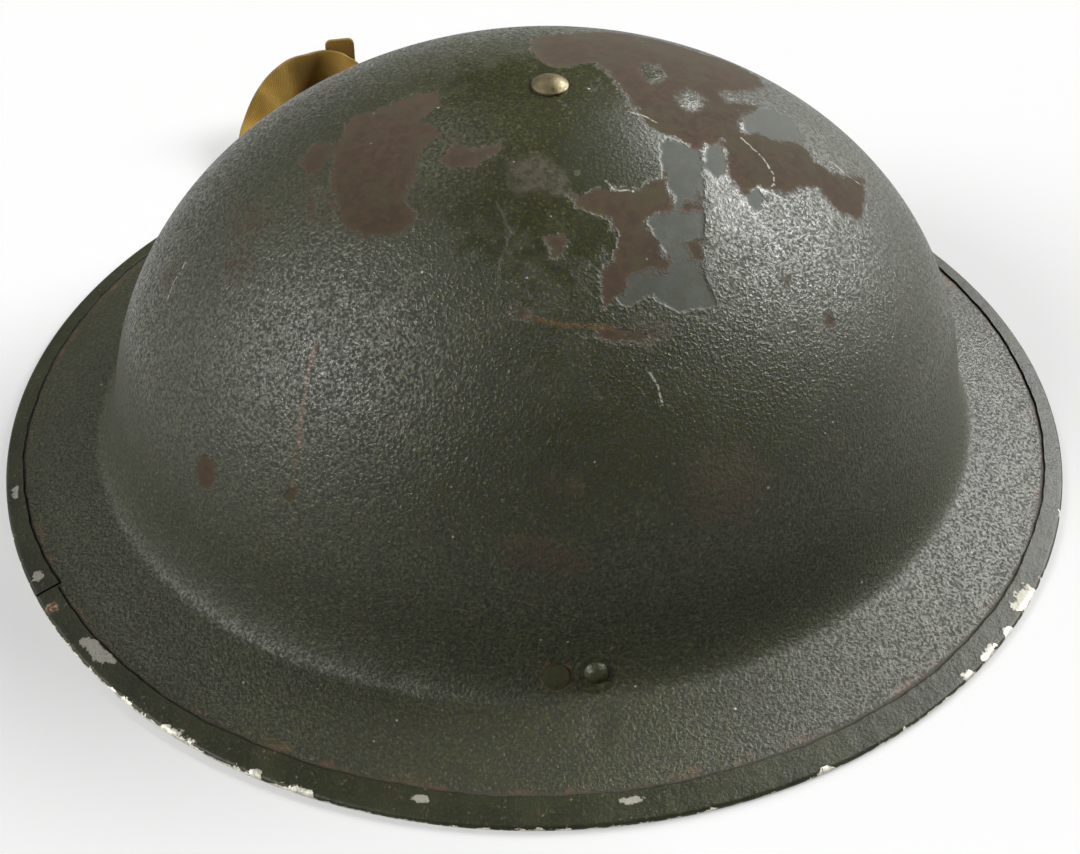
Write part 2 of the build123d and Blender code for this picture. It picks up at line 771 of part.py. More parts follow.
# Slide buckle on the straight run of the strap
slider_roll = math.radians(slider_run_roll)
slider_plane = Plane(
    origin=(
        slider_run_x,
        slider_run_y + slider_run / 2,
        strap_lie + slider_run_lift + strap_width / 2 * math.sin(slider_roll),
    ),
    x_dir=(math.cos(slider_roll), 0, math.sin(slider_roll)),
    z_dir=(0, 1, 0),
)
with BuildPart() as strap_slider:
    with BuildSketch(slider_plane):
        RectangleRounded(
            strap_width + 2 * slider_play + 2 * slider_rim,
            strap_gauge + 2 * slider_play + 2 * slider_gauge,
            slider_corner,
        )
        Rectangle(
            strap_width + 2 * slider_play, strap_gauge + 2 * slider_play, mode=Mode.SUBTRACT
        )
    extrude(amount=slider_length / 2, both=True)
save(strap_slider, "strap_slider")

print("hinge of the right loop", pivot, "and rest face", fold_radius - brim_width / 2)
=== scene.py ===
import math
from types import SimpleNamespace

import bpy
import numpy as np
from mathutils import Matrix, Vector


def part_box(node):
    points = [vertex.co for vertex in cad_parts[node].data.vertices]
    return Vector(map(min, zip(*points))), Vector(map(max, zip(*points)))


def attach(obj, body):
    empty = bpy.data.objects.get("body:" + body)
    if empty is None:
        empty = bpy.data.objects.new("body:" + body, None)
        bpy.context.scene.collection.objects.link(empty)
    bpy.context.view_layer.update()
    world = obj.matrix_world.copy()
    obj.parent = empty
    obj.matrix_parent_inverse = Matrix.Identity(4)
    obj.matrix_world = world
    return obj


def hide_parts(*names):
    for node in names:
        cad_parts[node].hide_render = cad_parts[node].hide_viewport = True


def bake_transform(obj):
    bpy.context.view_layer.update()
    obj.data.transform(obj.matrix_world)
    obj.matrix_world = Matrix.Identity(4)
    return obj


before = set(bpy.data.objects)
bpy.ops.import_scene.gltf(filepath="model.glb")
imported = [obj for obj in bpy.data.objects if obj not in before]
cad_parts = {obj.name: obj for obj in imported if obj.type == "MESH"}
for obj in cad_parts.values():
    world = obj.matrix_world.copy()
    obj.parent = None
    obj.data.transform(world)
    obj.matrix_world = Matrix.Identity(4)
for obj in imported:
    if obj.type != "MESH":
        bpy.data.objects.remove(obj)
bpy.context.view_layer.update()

bl_info = {
    "name": "Broad-brimmed steel helmet",
    "version": (1, 0, 0),
    "blender": (4, 5, 0),
    "location": "View3D > Sidebar > Helmet",
    "description": "Dresses the packed helmet: worn paint, rim strip, liner, webbing and stage",
    "category": "Add Mesh",
}

MM = 0.001

# Fold and joint of the rim strip, wire loops, sewn ends, the strap's lie and the near rivets,
# in millimetres, as in the part's source
STRIP_CLEARANCE = 0.07
STRIP_REACH = 0.1
LAND_DEPTH = 0.05
BRIM_SLOPE = 0.16
BRIM_FILLET = 0.24
FLAT_BAND = 9.0
BUTT_BEARING = 203.0
BUTT_GAP = 0.7
BUTT_STEP = 0.9
LOOP_PIVOT = (-7.0, 102.064, 10.175)
LOOP_DROOP = math.radians(18.0)
LOOP_LENGTH = 14.0
WIRE_RADIUS = 1.1
TAB_TAIL = 9.0
TAB_CLEARANCE = 0.3
TAB_GAP = 0.35
STRAP_LIE = -0.95
DOMED_RIVET = (-2.0, -107.0, 12.6)
FLUSH_RIVET = (-12.0, -107.0, 12.6)

# Chin strap: middle line in plan, lift of the lower edge and twist in degrees
STRAP_IN = (
    (-7.0, -79.862, 3.914, 0),
    (-15, -63, 2.4, 22),
    (-38, -54, 2.6, 36),
    (-66, -43, 3.4, 40),
    (-88, -12, 4.2, 40),
)
STRAP_OUT = (
    (-88, 32, 4.2, 40),
    (-85, 56, 1.8, 20),
    (-79, 80, 0.4, 0),
    (-76.4, 104, 0, 0),
    (-75.9, 125, 0, 0),
    (-74.6, 145, 0, -23),
    (-71.3, 154, 0, -50),
    (-67.1, 162, 0, -72),
    (-60, 167.7, 0, -88),
    (-52.6, 169.2, 0, -90),
    (-47.2, 165, 0, -88),
    (-46.8, 158, 0, -50),
    (-46, 152, 0, -15),
    (-44.8, 145.5, 0, 0),
    (-42.6, 130, 0, 0),
    (-42, 116, 0, 0),
    (-40, 96, 0.2, 4),
    (-35, 78, 0.6, 26),
    (-24, 67, 1.8, 40),
    (-12, 68, 3.0, 18),
    (-7.0, 79.862, 3.914, 0),
)
STRAP_SPACING = 1.6
STRAIGHT_RUN = 44.0
# How much of the webbing at each end is made as a piece of its own
RIGHT_END = 78.0
LEFT_END = 86.0
TAIL = {"x": -48.8, "y": 170.6, "lift": 3.7, "length": 10.4, "corner": 2.2, "turn": 2.0}

# Worn places on the shell, on its flat map: millimetres from the crown along the surface,
# with the first number towards the front and the second towards the wearer's left
PRIMER_PATCHES = (
    ((-26, 5), (-32, 7), (-38, 5), (-46, 6), (-49, 2), (-51, -3), (-58, 0), (-62, -5), (-61, -9),
     (-59, -13), (-56, -10), (-52, -9), (-54, -18), (-53, -26), (-53, -34), (-49, -40), (-40, -44),
     (-36, -40), (-37, -32), (-34, -25), (-32, -18), (-29, -16), (-27, -14), (-28, -9), (-31, -6),
     (-26, -2)),
    ((-25, -15), (-23, -16), (-22, -21), (-17, -22), (-13, -20), (-13, -22), (-16, -26), (-22, -28),
     (-26, -27), (-28, -24), (-26, -20)),
    ((-2, 29), (3, 34), (7, 36), (22, 44), (35, 43), (45, 36), (56, 39), (61, 30), (60, 20),
     (52, 10), (46, 7), (43, 4), (46, 1), (52, 3), (53, 1), (47, -5), (45, -10), (45, -14),
     (51, -13), (58, -13), (62, -10), (66, -12), (65, -17), (72, -19), (78, -14), (85, -10),
     (81, -25), (77, -33), (72, -34), (67, -32), (65, -28), (61, -28), (54, -33), (50, -35),
     (46, -34), (42, -38), (41, -37), (39, -33), (38, -31), (39, -19), (34, -22), (31, -25),
     (28, -22), (23, -20), (20, -15), (18, -8), (16, 0), (14, 8), (11, 13), (7, 10), (4, 9),
     (0, 13)),
    ((-1, -41), (3, -40), (9, -39), (16, -39), (20, -36), (23, -34), (22, -39), (23, -43),
     (22, -46), (18, -47), (16, -49), (18, -55), (19, -59), (22, -59), (19, -62), (14, -63),
     (10, -64), (8, -69), (4, -71), (4, -67), (4, -63), (7, -60), (8, -57), (8, -53), (7, -48),
     (4, -46), (0, -44)),
    ((25, -42), (28, -42), (30, -40), (31, -43), (30, -45), (27, -45), (25, -45)),
    ((24, -54), (29, -53), (29, -56), (28, -62), (27, -61), (25, -58)),
    ((-19, -68), (-16, -69), (-14, -71), (-14, -72), (-17, -72), (-19, -71)),
    ((-2, -77.5), (5, -77), (12, -78), (17, -78), (15, -81), (8, -80.5), (2, -79)),
    ((-111, -74), (-108, -74), (-104, -78), (-106, -83), (-110, -84), (-114, -80), (-112, -76)),
    ((-8, -53), (-6, -52), (-3, -54), (-4, -56), (-6, -58), (-7, -56)),
    ((62, -70), (64, -68), (65, -71), (63, -72)),
    ((-83, -96), (-81, -96), (-80, -99), (-82, -100), (-85, -98)),
)
PRIMER_ISLANDS = (
    ((30, -1), (34, 2), (38, -1), (36, -7), (32, -9), (30, -7)),
    ((43, 4), (48, 8), (51, 7), (49, 2), (44, -1)),
    ((24, 14), (29, 15), (29, 8), (24, 1), (23, 6)),
)
RUBBED_PATCHES = (
    ((-84, -23), (-80, -22), (-78, -27), (-78, -33), (-81, -37), (-84, -34), (-87, -28)),
    ((-108, -7), (-104, -9), (-102, -16), (-106, -18), (-109, -13)),
    ((63, -100), (66, -98), (69, -101), (69, -104), (65, -106), (62, -104)),
    ((-29, -125), (-22, -124), (-16, -126), (-4, -134), (-6, -137), (-16, -136), (-26, -132)),
    ((-14, -110), (-10, -111), (-6, -111), (-5, -115), (-8, -117), (-13, -115)),
    ((-22, -139), (-18, -138), (-17, -141), (-19, -144), (-23, -142)),
    ((-14, -27), (-6, -28), (-1, -34), (0, -40), (-8, -40), (-11, -38), (-11, -35), (-14, -31)),
    ((-61, -20), (-57, -20), (-52, -19), (-52, -28), (-55, -34), (-60, -30), (-62, -25)),
    ((23, -109), (37, -105), (47, -111), (43, -125), (27, -126), (21, -117)),
    ((-83, -6), (-72, -13), (-71, -22), (-77, -24), (-83, -18)),
    ((11, -75), (18, -76), (19, -81), (14, -82), (10, -79)),
)
GREY_PATCHES = (
    ((24, -22), (32, -25), (32, -30), (29, -53), (28, -62), (31, -71), (26, -72), (22, -73),
     (19, -72), (15, -69), (9, -72), (6, -69), (8, -64), (15, -61), (19, -60), (20, -58),
     (18, -54), (15, -49), (18, -47), (22, -46), (24, -42), (22, -39), (22, -29)),
    ((35, -22), (39, -19), (38, -31), (35, -34), (32, -31)),
    ((47, -5), (55, 2), (63, 3), (64, -3), (65, -8), (58, -14), (51, -14), (45, -15)),
    ((42, -37), (46, -34), (47, -38), (44, -44), (42, -41)),
)
SLATE_PATCHES = (
    ((-1, -26), (5, -15), (10, -12), (18, -15), (23, -20), (30, -26), (32, -25), (24, -30),
     (22, -35), (16, -38), (9, -38), (3, -40), (0, -36), (0, -32)),
)
PALE_SCRATCHES = (
    ((44, -17), (46, -19), (49, -23), (51, -28), (50, -33)),
    ((8, -37), (10, -40), (13, -40)),
    ((17, -12), (21, -14), (23, -16)),
    ((71, -12), (76, -15), (81, -16)),
    ((-99, -13), (-104, -16), (-108, -20)),
    ((-32, 57), (-28, 55)),
    ((13, -88), (15, -91), (16, -96)),
)
RUSTY_SCRATCHES = (
    ((-64, -64), (-68, -70), (-73, -81), (-81, -96)),
    ((-14, -72), (-7, -75), (5, -77)),
)
FLAKE_EDGES = (
    ((166, -79), (167, -85), (168, -91)),
    ((163, -98), (160, -108)),
    ((32, -25), (32, -35), (29, -53), (29, -65), (31, -72)),
)
FAINT_EDGES = (((-17, -40), (-16, -45), (-15, -50), (-18, -56), (-20, -64)),)
DENTS = ((-4.7, -181.3, 5.0, 0.5), (-68.5, -157.6, 6.0, 0.55))
WORN_REACH = 14.0
CROWN_WEAR = (4.0, -20.0, 0.0)

# Colours that belong to one place only: worn places, the painted light on the paint grain's crests
# and the painted shade along the rim strip's leaf
# Painted light on the paint grain's crests, with a little dust
LIT_DUSTY_CREST = (0.082, 0.085, 0.060)
FAINT_RIDGE = (0.075, 0.075, 0.062)
# Painted shade, with dirt, along the inner edge of the rim strip's upper leaf
SEAM_SHADE_AND_DIRT = (0.016, 0.011, 0.008)
PALE_SCUFF = (0.25, 0.25, 0.215)
WELD_TONES = ((0.045, 0.020, 0.009), (0.21, 0.145, 0.085))

# Bare patches on the rim strip: bearing in degrees, distance in from the edge (less than nothing
# under the roll), half length and half width, in millimetres
RIM_BARE = (
    (213.4, 4.2, 4.4, 1.9),
    (215.2, 5.2, 2.6, 1.2),
    (320.4, 2.5, 4.6, 2.3),
    (315.3, 0.2, 1.8, 1.5),
    (311.8, 0.5, 3.2, 1.9),
    (307.6, 0.3, 2.8, 1.7),
    (227.2, 0.2, 4.4, 1.7),
    (236.1, 0.5, 1.8, 1.4),
    (240.9, 0.1, 3.4, 1.4),
    (219.5, 0.0, 5.0, 0.9),
    (251.2, 5.2, 2.2, 1.0),
    (270.7, 5.6, 3.0, 1.0),
    (187.4, 2.9, 2.4, 1.0),
    (200.6, 3.0, 1.8, 1.5),
    (262.0, 0.0, 2.0, 0.8),
    (289.0, 0.0, 2.4, 0.9),
    (334.0, 0.2, 2.0, 0.8),
)
# Width of the strip's upper leaf, in millimetres: at the sides, and what it gains at the near side
LEAF_SIDES = 4.1
LEAF_GAIN = 3.1
# Reach of the shell's edge from the crown, bearing of the weld, and mean radius of the rim
LEAF_REACH = 203.2
WELD_BEARING = 205.5
RIM_RADIUS = 149.0
# Run given to the faces inside the fold, which no wear reaches
HIDDEN_RUN = -9.0

# Steps over the dome, the fillet and the brim, outside and inside the shell
SHELL_COLUMNS = 400
OUTER_STEPS = (96, 22, 16)
INNER_STEPS = (44, 14, 8)

# Light that the floor gives back to the camera, and the soft lights: bearing, height and spread
# in degrees, and strength
FLOOR_GLOW = (0.86, 0.86, 0.855)
SOFTBOXES = {
    "right_softbox": (13, 33, 26, 6.8),
    "far_right_softbox": (43, 32, 24, 3.3),
    "left_softbox": (-164, 35, 22, 4.6),
    "low_left_softbox": (180, 12, 78, 1.5),
    "far_left_softbox": (124, 47, 36, 0.5),
}


def leaf_width_at(bearings):
    """Width of the strip's upper leaf at bearings in radians, wider where its ends meet."""
    width = LEAF_SIDES + LEAF_GAIN * np.clip(-np.sin(bearings), 0, 1) ** 1.5
    short = BUTT_BEARING - np.degrees(bearings) % 360
    return width + BUTT_STEP * np.where(short > 0, np.exp(-np.abs(short) / 7.0), 0.0)


def size(label, about, default):
    """A length that a user may change."""
    return bpy.props.FloatProperty(
        name=label,
        description=about,
        default=default,
        min=0.0,
        max=1.0,
        precision=4,
        unit="LENGTH",
        subtype="DISTANCE",
    )


def colour(label, about, default):
    """A colour that a user may change."""
    return bpy.props.FloatVectorProperty(
        name=label,
        description=about,
        default=default,
        size=3,
        min=0.0,
        max=1.0,
        subtype="COLOR",
    )


class HelmetSizes(bpy.types.PropertyGroup):
    """Sizes of the shell, its rim strip, its paint and the webbing"""

    brim_length: size("Brim length", "Whole length of the brim over its strip", 0.310)
    brim_width: size("Brim width", "Whole width of the brim over its strip", 0.286)
    crown_height: size("Crown height", "Height of the shell's crown above the table", 0.113)
    shell_wall: size("Shell wall", "Thickness of the pressed steel", 0.0011)
    dome_length: size("Dome length", "Length of the dome at its waist", 0.2442)
    dome_width: size("Dome width", "Width of the dome at its waist", 0.2084)
    waist_height: size("Waist height", "Height of the dome's widest section", 0.0098)
    crease_height: size("Crease height", "Height of the corner between dome and brim", 0.008)
    fillet_top: size("Fillet top", "Height where the dome starts to flow into the brim", 0.027)
    strip_gauge: size("Strip gauge", "Thickness of the folded rim strip", 0.0005)
    strip_leaf: size("Strip leaf", "Width of each leaf of the rim strip", 0.006)
    strap_width: size("Strap width", "Width of the webbing", 0.025)
    strap_gauge: size("Strap gauge", "Thickness of the webbing", 0.0015)
    peel_depth: size("Paint grain depth", "Depth of the rough paint's grain", 0.00034)


class HelmetColours(bpy.types.PropertyGroup):
    """Colours of the paint, metals, liner and webbing"""

    paint: colour("Paint", "Olive-green paint", (0.0190, 0.0205, 0.0068))
    primer: colour("Primer", "Red-brown primer under the paint", (0.0245, 0.0140, 0.0055))
    grey_coat: colour("Grey coat", "Smooth grey coat under the paint", (0.0255, 0.0285, 0.0218))
    slate_coat: colour("Slate coat", "Dark smooth coat near the crown", (0.0165, 0.0195, 0.0135))
    rust: colour("Rust", "Rust in scratches and seams", (0.052, 0.027, 0.009))
    bare_metal: colour("Bare metal", "Rim strip where its paint is gone", (0.56, 0.54, 0.45))
    brass: colour("Brass", "Dull brass of the crown screw and slide", (0.160, 0.130, 0.064))
    steel: colour("Steel", "Dull steel of the lugs and loops", (0.27, 0.26, 0.24))
    fibre: colour("Fibre", "Dark fibre of the cross straps and head band", (0.062, 0.045, 0.036))
    rubber: colour("Rubber", "Aged rubber of the buffers and crown pad", (0.045, 0.040, 0.038))
    leathercloth: colour("Leathercloth", "Black coated cloth of the liner", (0.030, 0.029, 0.027))
    lace: colour("Lace", "Cotton lace of the cradle", (0.30, 0.25, 0.17))
    webbing: colour("Webbing", "Mustard-tan webbing of the chin strap", (0.183, 0.106, 0.012))
    floor: colour("Floor", "Pale floor", (0.38, 0.38, 0.38))


class Finish:
    """A procedural material under construction, with its own small set of node makers."""

    def __init__(self, name, specular=0.5):
        self.material = bpy.data.materials.new(name)
        self.material.use_nodes = True
        self.tree = self.material.node_tree
        self.tree.nodes.clear()
        self.output = self.node("OutputMaterial")
        self.shader = self.node("BsdfPrincipled")
        self.set("Specular IOR Level", specular)
        self.tree.links.new(self.shader.outputs["BSDF"], self.output.inputs["Surface"])

    def node(self, kind):
        """A new shader node of the kind."""
        return self.tree.nodes.new("ShaderNode" + kind)

    def set(self, name, value):
        """A fixed value on the shader's own socket."""
        self.shader.inputs[name].default_value = value

    def feed(self, socket, value):
        """Another socket or a fixed value into the socket."""
        if isinstance(value, bpy.types.NodeSocket):
            self.tree.links.new(value, socket)
        elif isinstance(value, (tuple, list)) and socket.type == "RGBA":
            socket.default_value = (*value[:3], 1.0)
        else:
            socket.default_value = value

    def place(self):
        """The point on the object at rest, in millimetres."""
        return self.vector("SCALE", self.node("TexCoord").outputs["Object"], factor=1 / MM)

    def flat_map(self, name):
        """The point on the named flat map."""
        node = self.node("UVMap")
        node.uv_map = name
        return node.outputs["UV"]

    def attribute(self, name):
        """The number that the mesh holds under the name at each vertex."""
        node = self.node("Attribute")
        node.attribute_name = name
        return node.outputs["Fac"]

    def parts(self, vector):
        """The first two parts of a flat map's point."""
        node = self.node("SeparateXYZ")
        self.feed(node.inputs[0], vector)
        return node.outputs[0], node.outputs[1]

    def vector(self, operation, *values, factor=None):
        """The operation on some vectors; a distance or a product comes out as a number."""
        node = self.node("VectorMath")
        node.operation = operation
        for socket, value in zip(node.inputs, values):
            self.feed(socket, value)
        if factor is not None:
            self.feed(node.inputs["Scale"], factor)
        return node.outputs["Value" if operation in ("DISTANCE", "DOT_PRODUCT") else "Vector"]

    def math(self, operation, first, second=0.0, clamp=False):
        """The operation on two numbers, kept between nothing and one if clamped."""
        node = self.node("Math")
        node.operation = operation
        node.use_clamp = clamp
        self.feed(node.inputs[0], first)
        self.feed(node.inputs[1], second)
        return node.outputs[0]

    def plus(self, first, second):
        return self.math("ADD", first, second)

    def minus(self, first, second):
        return self.math("SUBTRACT", first, second)

    def times(self, first, second):
        return self.math("MULTIPLY", first, second)

    def most(self, first, second):
        return self.math("MAXIMUM", first, second)

    def inverse(self, value):
        """One less the value."""
        return self.math("SUBTRACT", 1.0, value)

    def noise(self, vector, scale, detail=3.0, roughness=0.55, distortion=0.0):
        """Cloudy noise between nothing and one."""
        return self.noise_node(vector, scale, detail, roughness, distortion).outputs["Fac"]

    def noise_node(self, vector, scale, detail, roughness=0.5, distortion=0.0):
        node = self.node("TexNoise")
        self.feed(node.inputs["Vector"], vector)
        node.inputs["Scale"].default_value = scale
        node.inputs["Detail"].default_value = detail
        node.inputs["Roughness"].default_value = roughness
        node.inputs["Distortion"].default_value = distortion
        return node

    def cells(self, vector, scale, feature="F1"):
        """Distance from the heart or, by another feature, from the edge of scattered cells."""
        node = self.node("TexVoronoi")
        node.feature = feature
        self.feed(node.inputs["Vector"], vector)
        node.inputs["Scale"].default_value = scale
        return node.outputs["Distance"]

    def step(self, value, low, high, bottom=0.0, top=1.0):
        """Smooth step from bottom to top as the value goes from low to high."""
        node = self.node("MapRange")
        node.interpolation_type = "SMOOTHSTEP"
        self.feed(node.inputs["Value"], value)
        node.inputs["From Min"].default_value = low
        node.inputs["From Max"].default_value = high
        node.inputs["To Min"].default_value = bottom
        node.inputs["To Max"].default_value = top
        return node.outputs["Result"]

    def fall(self, value, low, high):
        """Smooth step from one down to nothing as the value goes from low to high."""
        return self.inverse(self.step(value, low, high))

    def band(self, value, rise_low, rise_high, fall_low, fall_high):
        """One between two smooth steps, and nothing outside them."""
        risen = self.step(value, rise_low, rise_high)
        return self.times(risen, self.fall(value, fall_low, fall_high))

    def blend(self, share, under, over):
        """A mix of two colours."""
        node = self.node("Mix")
        node.data_type = "RGBA"
        self.feed(node.inputs[0], share)
        self.feed(node.inputs[6], under)
        self.feed(node.inputs[7], over)
        return node.outputs[2]

    def lay(self, under, over, mask, share):
        """A colour laid over another where the mask shows, as thick as the share."""
        return self.blend(self.times(mask, share), under, over)

    def vary(self, share, under, over):
        """A roughness that goes from under to over with the share."""
        under = under if isinstance(under, bpy.types.NodeSocket) else (under,) * 3
        return self.blend(share, under, (over,) * 3)

    def bump(self, height, distance, strength=1.0):
        """The surface's direction where the height, in units of the distance, dents it."""
        node = self.node("Bump")
        node.inputs["Strength"].default_value = strength
        node.inputs["Distance"].default_value = distance
        self.feed(node.inputs["Height"], height)
        return node.outputs["Normal"]

    def scratches(self, spot, runs):
        """Distance from the nearest of some runs of points on a flat map."""
        nearest = None
        for first, last in (pair for run in runs for pair in zip(run, run[1:])):
            start = Vector((*first, 0.0))
            along = Vector((*last, 0.0)) - start
            offset = self.vector("SUBTRACT", spot, start)
            shadow = self.vector("DOT_PRODUCT", offset, along / along.length_squared)
            share = self.math("ADD", shadow, 0.0, clamp=True)
            gap = self.vector("DISTANCE", offset, self.vector("SCALE", along, factor=share))
            nearest = gap if nearest is None else self.math("MINIMUM", nearest, gap)
        return nearest

    def wobble(self, spot, place, scale, reach):
        """The flat map's point, moved a little so that a scratch isn't ruled."""
        push = self.noise_node(place, scale, 3.0).outputs["Color"]
        back = (-reach / 2, -reach / 2, 0.0)
        moved = self.vector("MULTIPLY_ADD", push, (reach, reach, 0.0), back)
        return self.vector("ADD", spot, moved)

    def dress(self, base, roughness, normal):
        """Colour, roughness and relief into the shader."""
        self.feed(self.shader.inputs["Base Color"], base)
        self.feed(self.shader.inputs["Roughness"], roughness)
        self.feed(self.shader.inputs["Normal"], normal)
        return self.material


def tone(shade, factor=1.0):
    """The same colour, lighter or darker."""
    return tuple(min(1.0, part * factor) for part in shade)


def paint_wear(paint):
    """Noises, and masks from nothing to one, for where the shell's paint is worn or gone, and for
    the painted shade along the rim strip's leaf.
    """
    place = paint.place()
    spot = paint.flat_map("flat_map")
    inside = paint.attribute("inner_face")
    reach = paint.attribute("reach")
    past_leaf = paint.attribute("past_leaf")
    ragged = paint.minus(paint.noise(place, 0.17, 6.0, 0.66), 0.5)
    frayed = paint.times(ragged, 6.5)
    grain = paint.noise(place, 1.15, 3.0, 0.62, 0.3)
    drift = paint.noise(place, 0.03, 2.0, 0.5)
    cloud = paint.noise(place, 0.085, 4.0, 0.6)
    mottle = paint.noise(place, 0.40, 4.0, 0.7)
    chips = paint.noise(place, 0.11, 5.0, 0.68)

    speckled = paint.times(paint.minus(mottle, 0.5), 5.0)
    primer_depth = paint.plus(paint.plus(paint.attribute("primer"), frayed), speckled)
    primer = paint.step(primer_depth, -0.9, 1.0)
    primer_edge = paint.times(primer, paint.fall(primer_depth, 0.4, 1.8))
    grey_depth = paint.plus(paint.attribute("grey_coat"), paint.times(frayed, 0.7))
    grey = paint.times(paint.step(grey_depth, -0.5, 0.5), paint.inverse(primer))
    bare = paint.most(primer, grey)
    slate = paint.step(paint.plus(paint.attribute("slate_coat"), frayed), -3.0, 3.5)
    slate = paint.times(slate, paint.inverse(bare))
    rubbed_depth = paint.plus(paint.attribute("rubbed"), paint.times(frayed, 1.5))
    rubbed = paint.times(
        paint.step(rubbed_depth, -2.5, 2.5), paint.step(mottle, 0.38, 0.62, 0.25, 1.0)
    )
    crown_far = paint.vector("DISTANCE", spot, CROWN_WEAR)
    stray = paint.times(paint.step(chips, 0.64, 0.67), paint.step(crown_far, 60.0, 150.0, 1.0, 0.3))
    rubbed = paint.most(paint.times(rubbed, 0.75), paint.times(stray, 0.6))
    rubbed = paint.times(rubbed, paint.inverse(bare))

    off_crown = paint.plus(crown_far, paint.times(ragged, 60.0))
    rough_crown = paint.step(off_crown, 30.0, 58.0, 0.34, 1.0)
    rivet_gap = paint.vector("DISTANCE", place, DOMED_RIVET)
    coat = paint.times(paint.inverse(bare), paint.inverse(inside))
    coat = paint.times(coat, paint.times(rough_crown, paint.step(rivet_gap, 5.0, 6.4)))

    lifted = paint.wobble(spot, place, 0.3, 1.8)
    rust_line = paint.fall(paint.scratches(lifted, RUSTY_SCRATCHES), 0.25, 0.95)
    pale_line = paint.fall(paint.scratches(lifted, PALE_SCRATCHES), 0.10, 0.40)
    speck = paint.times(
        paint.fall(paint.cells(place, 0.16), 0.035, 0.07), paint.step(chips, 0.52, 0.60)
    )
    flush_gap = paint.vector("DISTANCE", place, FLUSH_RIVET)
    flush_ring = paint.band(flush_gap, 3.0, 3.5, 4.0, 4.6)
    stain_depth = paint.plus(past_leaf, paint.times(ragged, 9.0))
    return SimpleNamespace(
        inside=inside,
        reach=reach,
        grain=grain,
        drift=drift,
        cloud=cloud,
        mottle=mottle,
        chips=chips,
        primer=primer,
        primer_edge=primer_edge,
        grey=grey,
        bare=bare,
        slate=slate,
        rubbed=rubbed,
        rough_crown=rough_crown,
        coat=coat,
        rivet_ring=paint.band(rivet_gap, 3.4, 4.6, 4.9, 5.9),
        flush_ring=paint.times(flush_ring, paint.step(mottle, 0.42, 0.54)),
        rust_line=paint.times(rust_line, paint.step(mottle, 0.36, 0.50)),
        pale_line=paint.times(pale_line, paint.step(grain, 0.40, 0.52, 0.0, 0.8)),
        flake_line=paint.fall(paint.scratches(lifted, FLAKE_EDGES), 0.15, 0.9),
        faint_line=paint.fall(paint.scratches(lifted, FAINT_EDGES), 0.1, 0.45),
        speck=paint.times(speck, paint.inverse(inside)),
        # Painted shade with dirt: a dark band along the inner edge of the rim strip's upper leaf
        seam=paint.band(past_leaf, -1.0, -0.1, 1.2, 1.8),
        stain=paint.times(paint.step(stain_depth, -3.0, -0.4), paint.step(chips, 0.50, 0.58)),
    )


def paint_colour(paint, wear, colours):
    """Olive paint with painted shade in its hollows and painted light on its crests, what its worn
    places show, and painted shade along the rim strip's leaf.
    """
    olive = paint.blend(
        paint.step(wear.drift, 0.3, 0.7), tone(colours.paint, 0.84), tone(colours.paint, 1.12)
    )
    olive = paint.lay(olive, tone(colours.paint, 1.4), paint.step(wear.cloud, 0.45, 0.75), 0.5)
    brownish = (colours.paint[0] * 1.4, colours.paint[1] * 0.95, colours.paint[2] * 0.9)
    olive = paint.lay(olive, brownish, paint.step(wear.mottle, 0.5, 0.72), 0.35)
    # Painted shade darkens the grain's hollows and painted light lifts its crests, on the same
    # grain that dents the bump; the crests also carry a little dust
    olive = paint.blend(paint.step(wear.grain, 0.38, 0.58), tone(colours.paint, 0.34), olive)
    olive = paint.lay(olive, LIT_DUSTY_CREST, paint.step(wear.grain, 0.58, 0.70), 0.35)
    worn = paint.blend(
        paint.step(wear.mottle, 0.35, 0.68), tone(colours.primer, 0.74), tone(colours.primer, 1.18)
    )
    worn = paint.lay(worn, tone(colours.paint, 1.2), paint.step(wear.chips, 0.46, 0.62), 0.42)
    grey_low, grey_high = tone(colours.grey_coat, 0.62), tone(colours.grey_coat, 1.05)
    smooth_grey = paint.blend(paint.step(wear.cloud, 0.3, 0.7), grey_low, grey_high)
    smooth_grey = paint.lay(
        smooth_grey, tone(colours.paint, 0.85), paint.step(wear.mottle, 0.40, 0.62), 0.60
    )

    base = paint.lay(olive, tone(colours.slate_coat), wear.slate, 0.38)
    base = paint.blend(wear.rubbed, base, worn)
    base = paint.blend(wear.grey, base, smooth_grey)
    base = paint.blend(wear.primer, base, worn)
    inner_rust = paint.times(wear.inside, paint.step(wear.chips, 0.55, 0.72))
    rust = tone(colours.rust)
    for mask, share, shade in (
        (wear.primer_edge, 0.12, tone(colours.primer, 1.7)),
        (wear.rust_line, 0.9, rust),
        (wear.flake_line, 0.7, tone(colours.paint, 0.35)),
        (wear.faint_line, 0.22, FAINT_RIDGE),
        (wear.flush_ring, 0.6, rust),
        (wear.stain, 0.75, rust),
        # painted shade with dirt along the rim strip's leaf edge
        (wear.seam, 0.85, SEAM_SHADE_AND_DIRT),
        (inner_rust, 0.4, rust),
        (paint.most(wear.speck, wear.pale_line), 0.8, PALE_SCUFF),
    ):
        base = paint.lay(base, shade, mask, share)
    return base


def paint_roughness(paint, wear):
    """Half-gloss ridges over matt hollows; matt where the paint is gone and in the wide fillet."""
    rough = paint.vary(paint.step(wear.cloud, 0.35, 0.7), 0.24, 0.33)
    hollow = paint.times(paint.fall(wear.grain, 0.42, 0.54), wear.coat)
    fillet = paint.times(paint.band(wear.reach, 126.0, 142.0, 166.0, 180.0), 0.8)
    for mask, roughness in (
        (paint.step(wear.reach, 138.0, 166.0), 0.36),
        (paint.inverse(wear.rough_crown), 0.20),
        (hollow, 0.70),
        (fillet, 0.62),
        (wear.grey, 0.72),
        (paint.most(wear.primer, wear.rubbed), 0.95),
        (paint.most(wear.seam, wear.pale_line), 0.75),
    ):
        rough = paint.vary(mask, rough, roughness)
    return rough


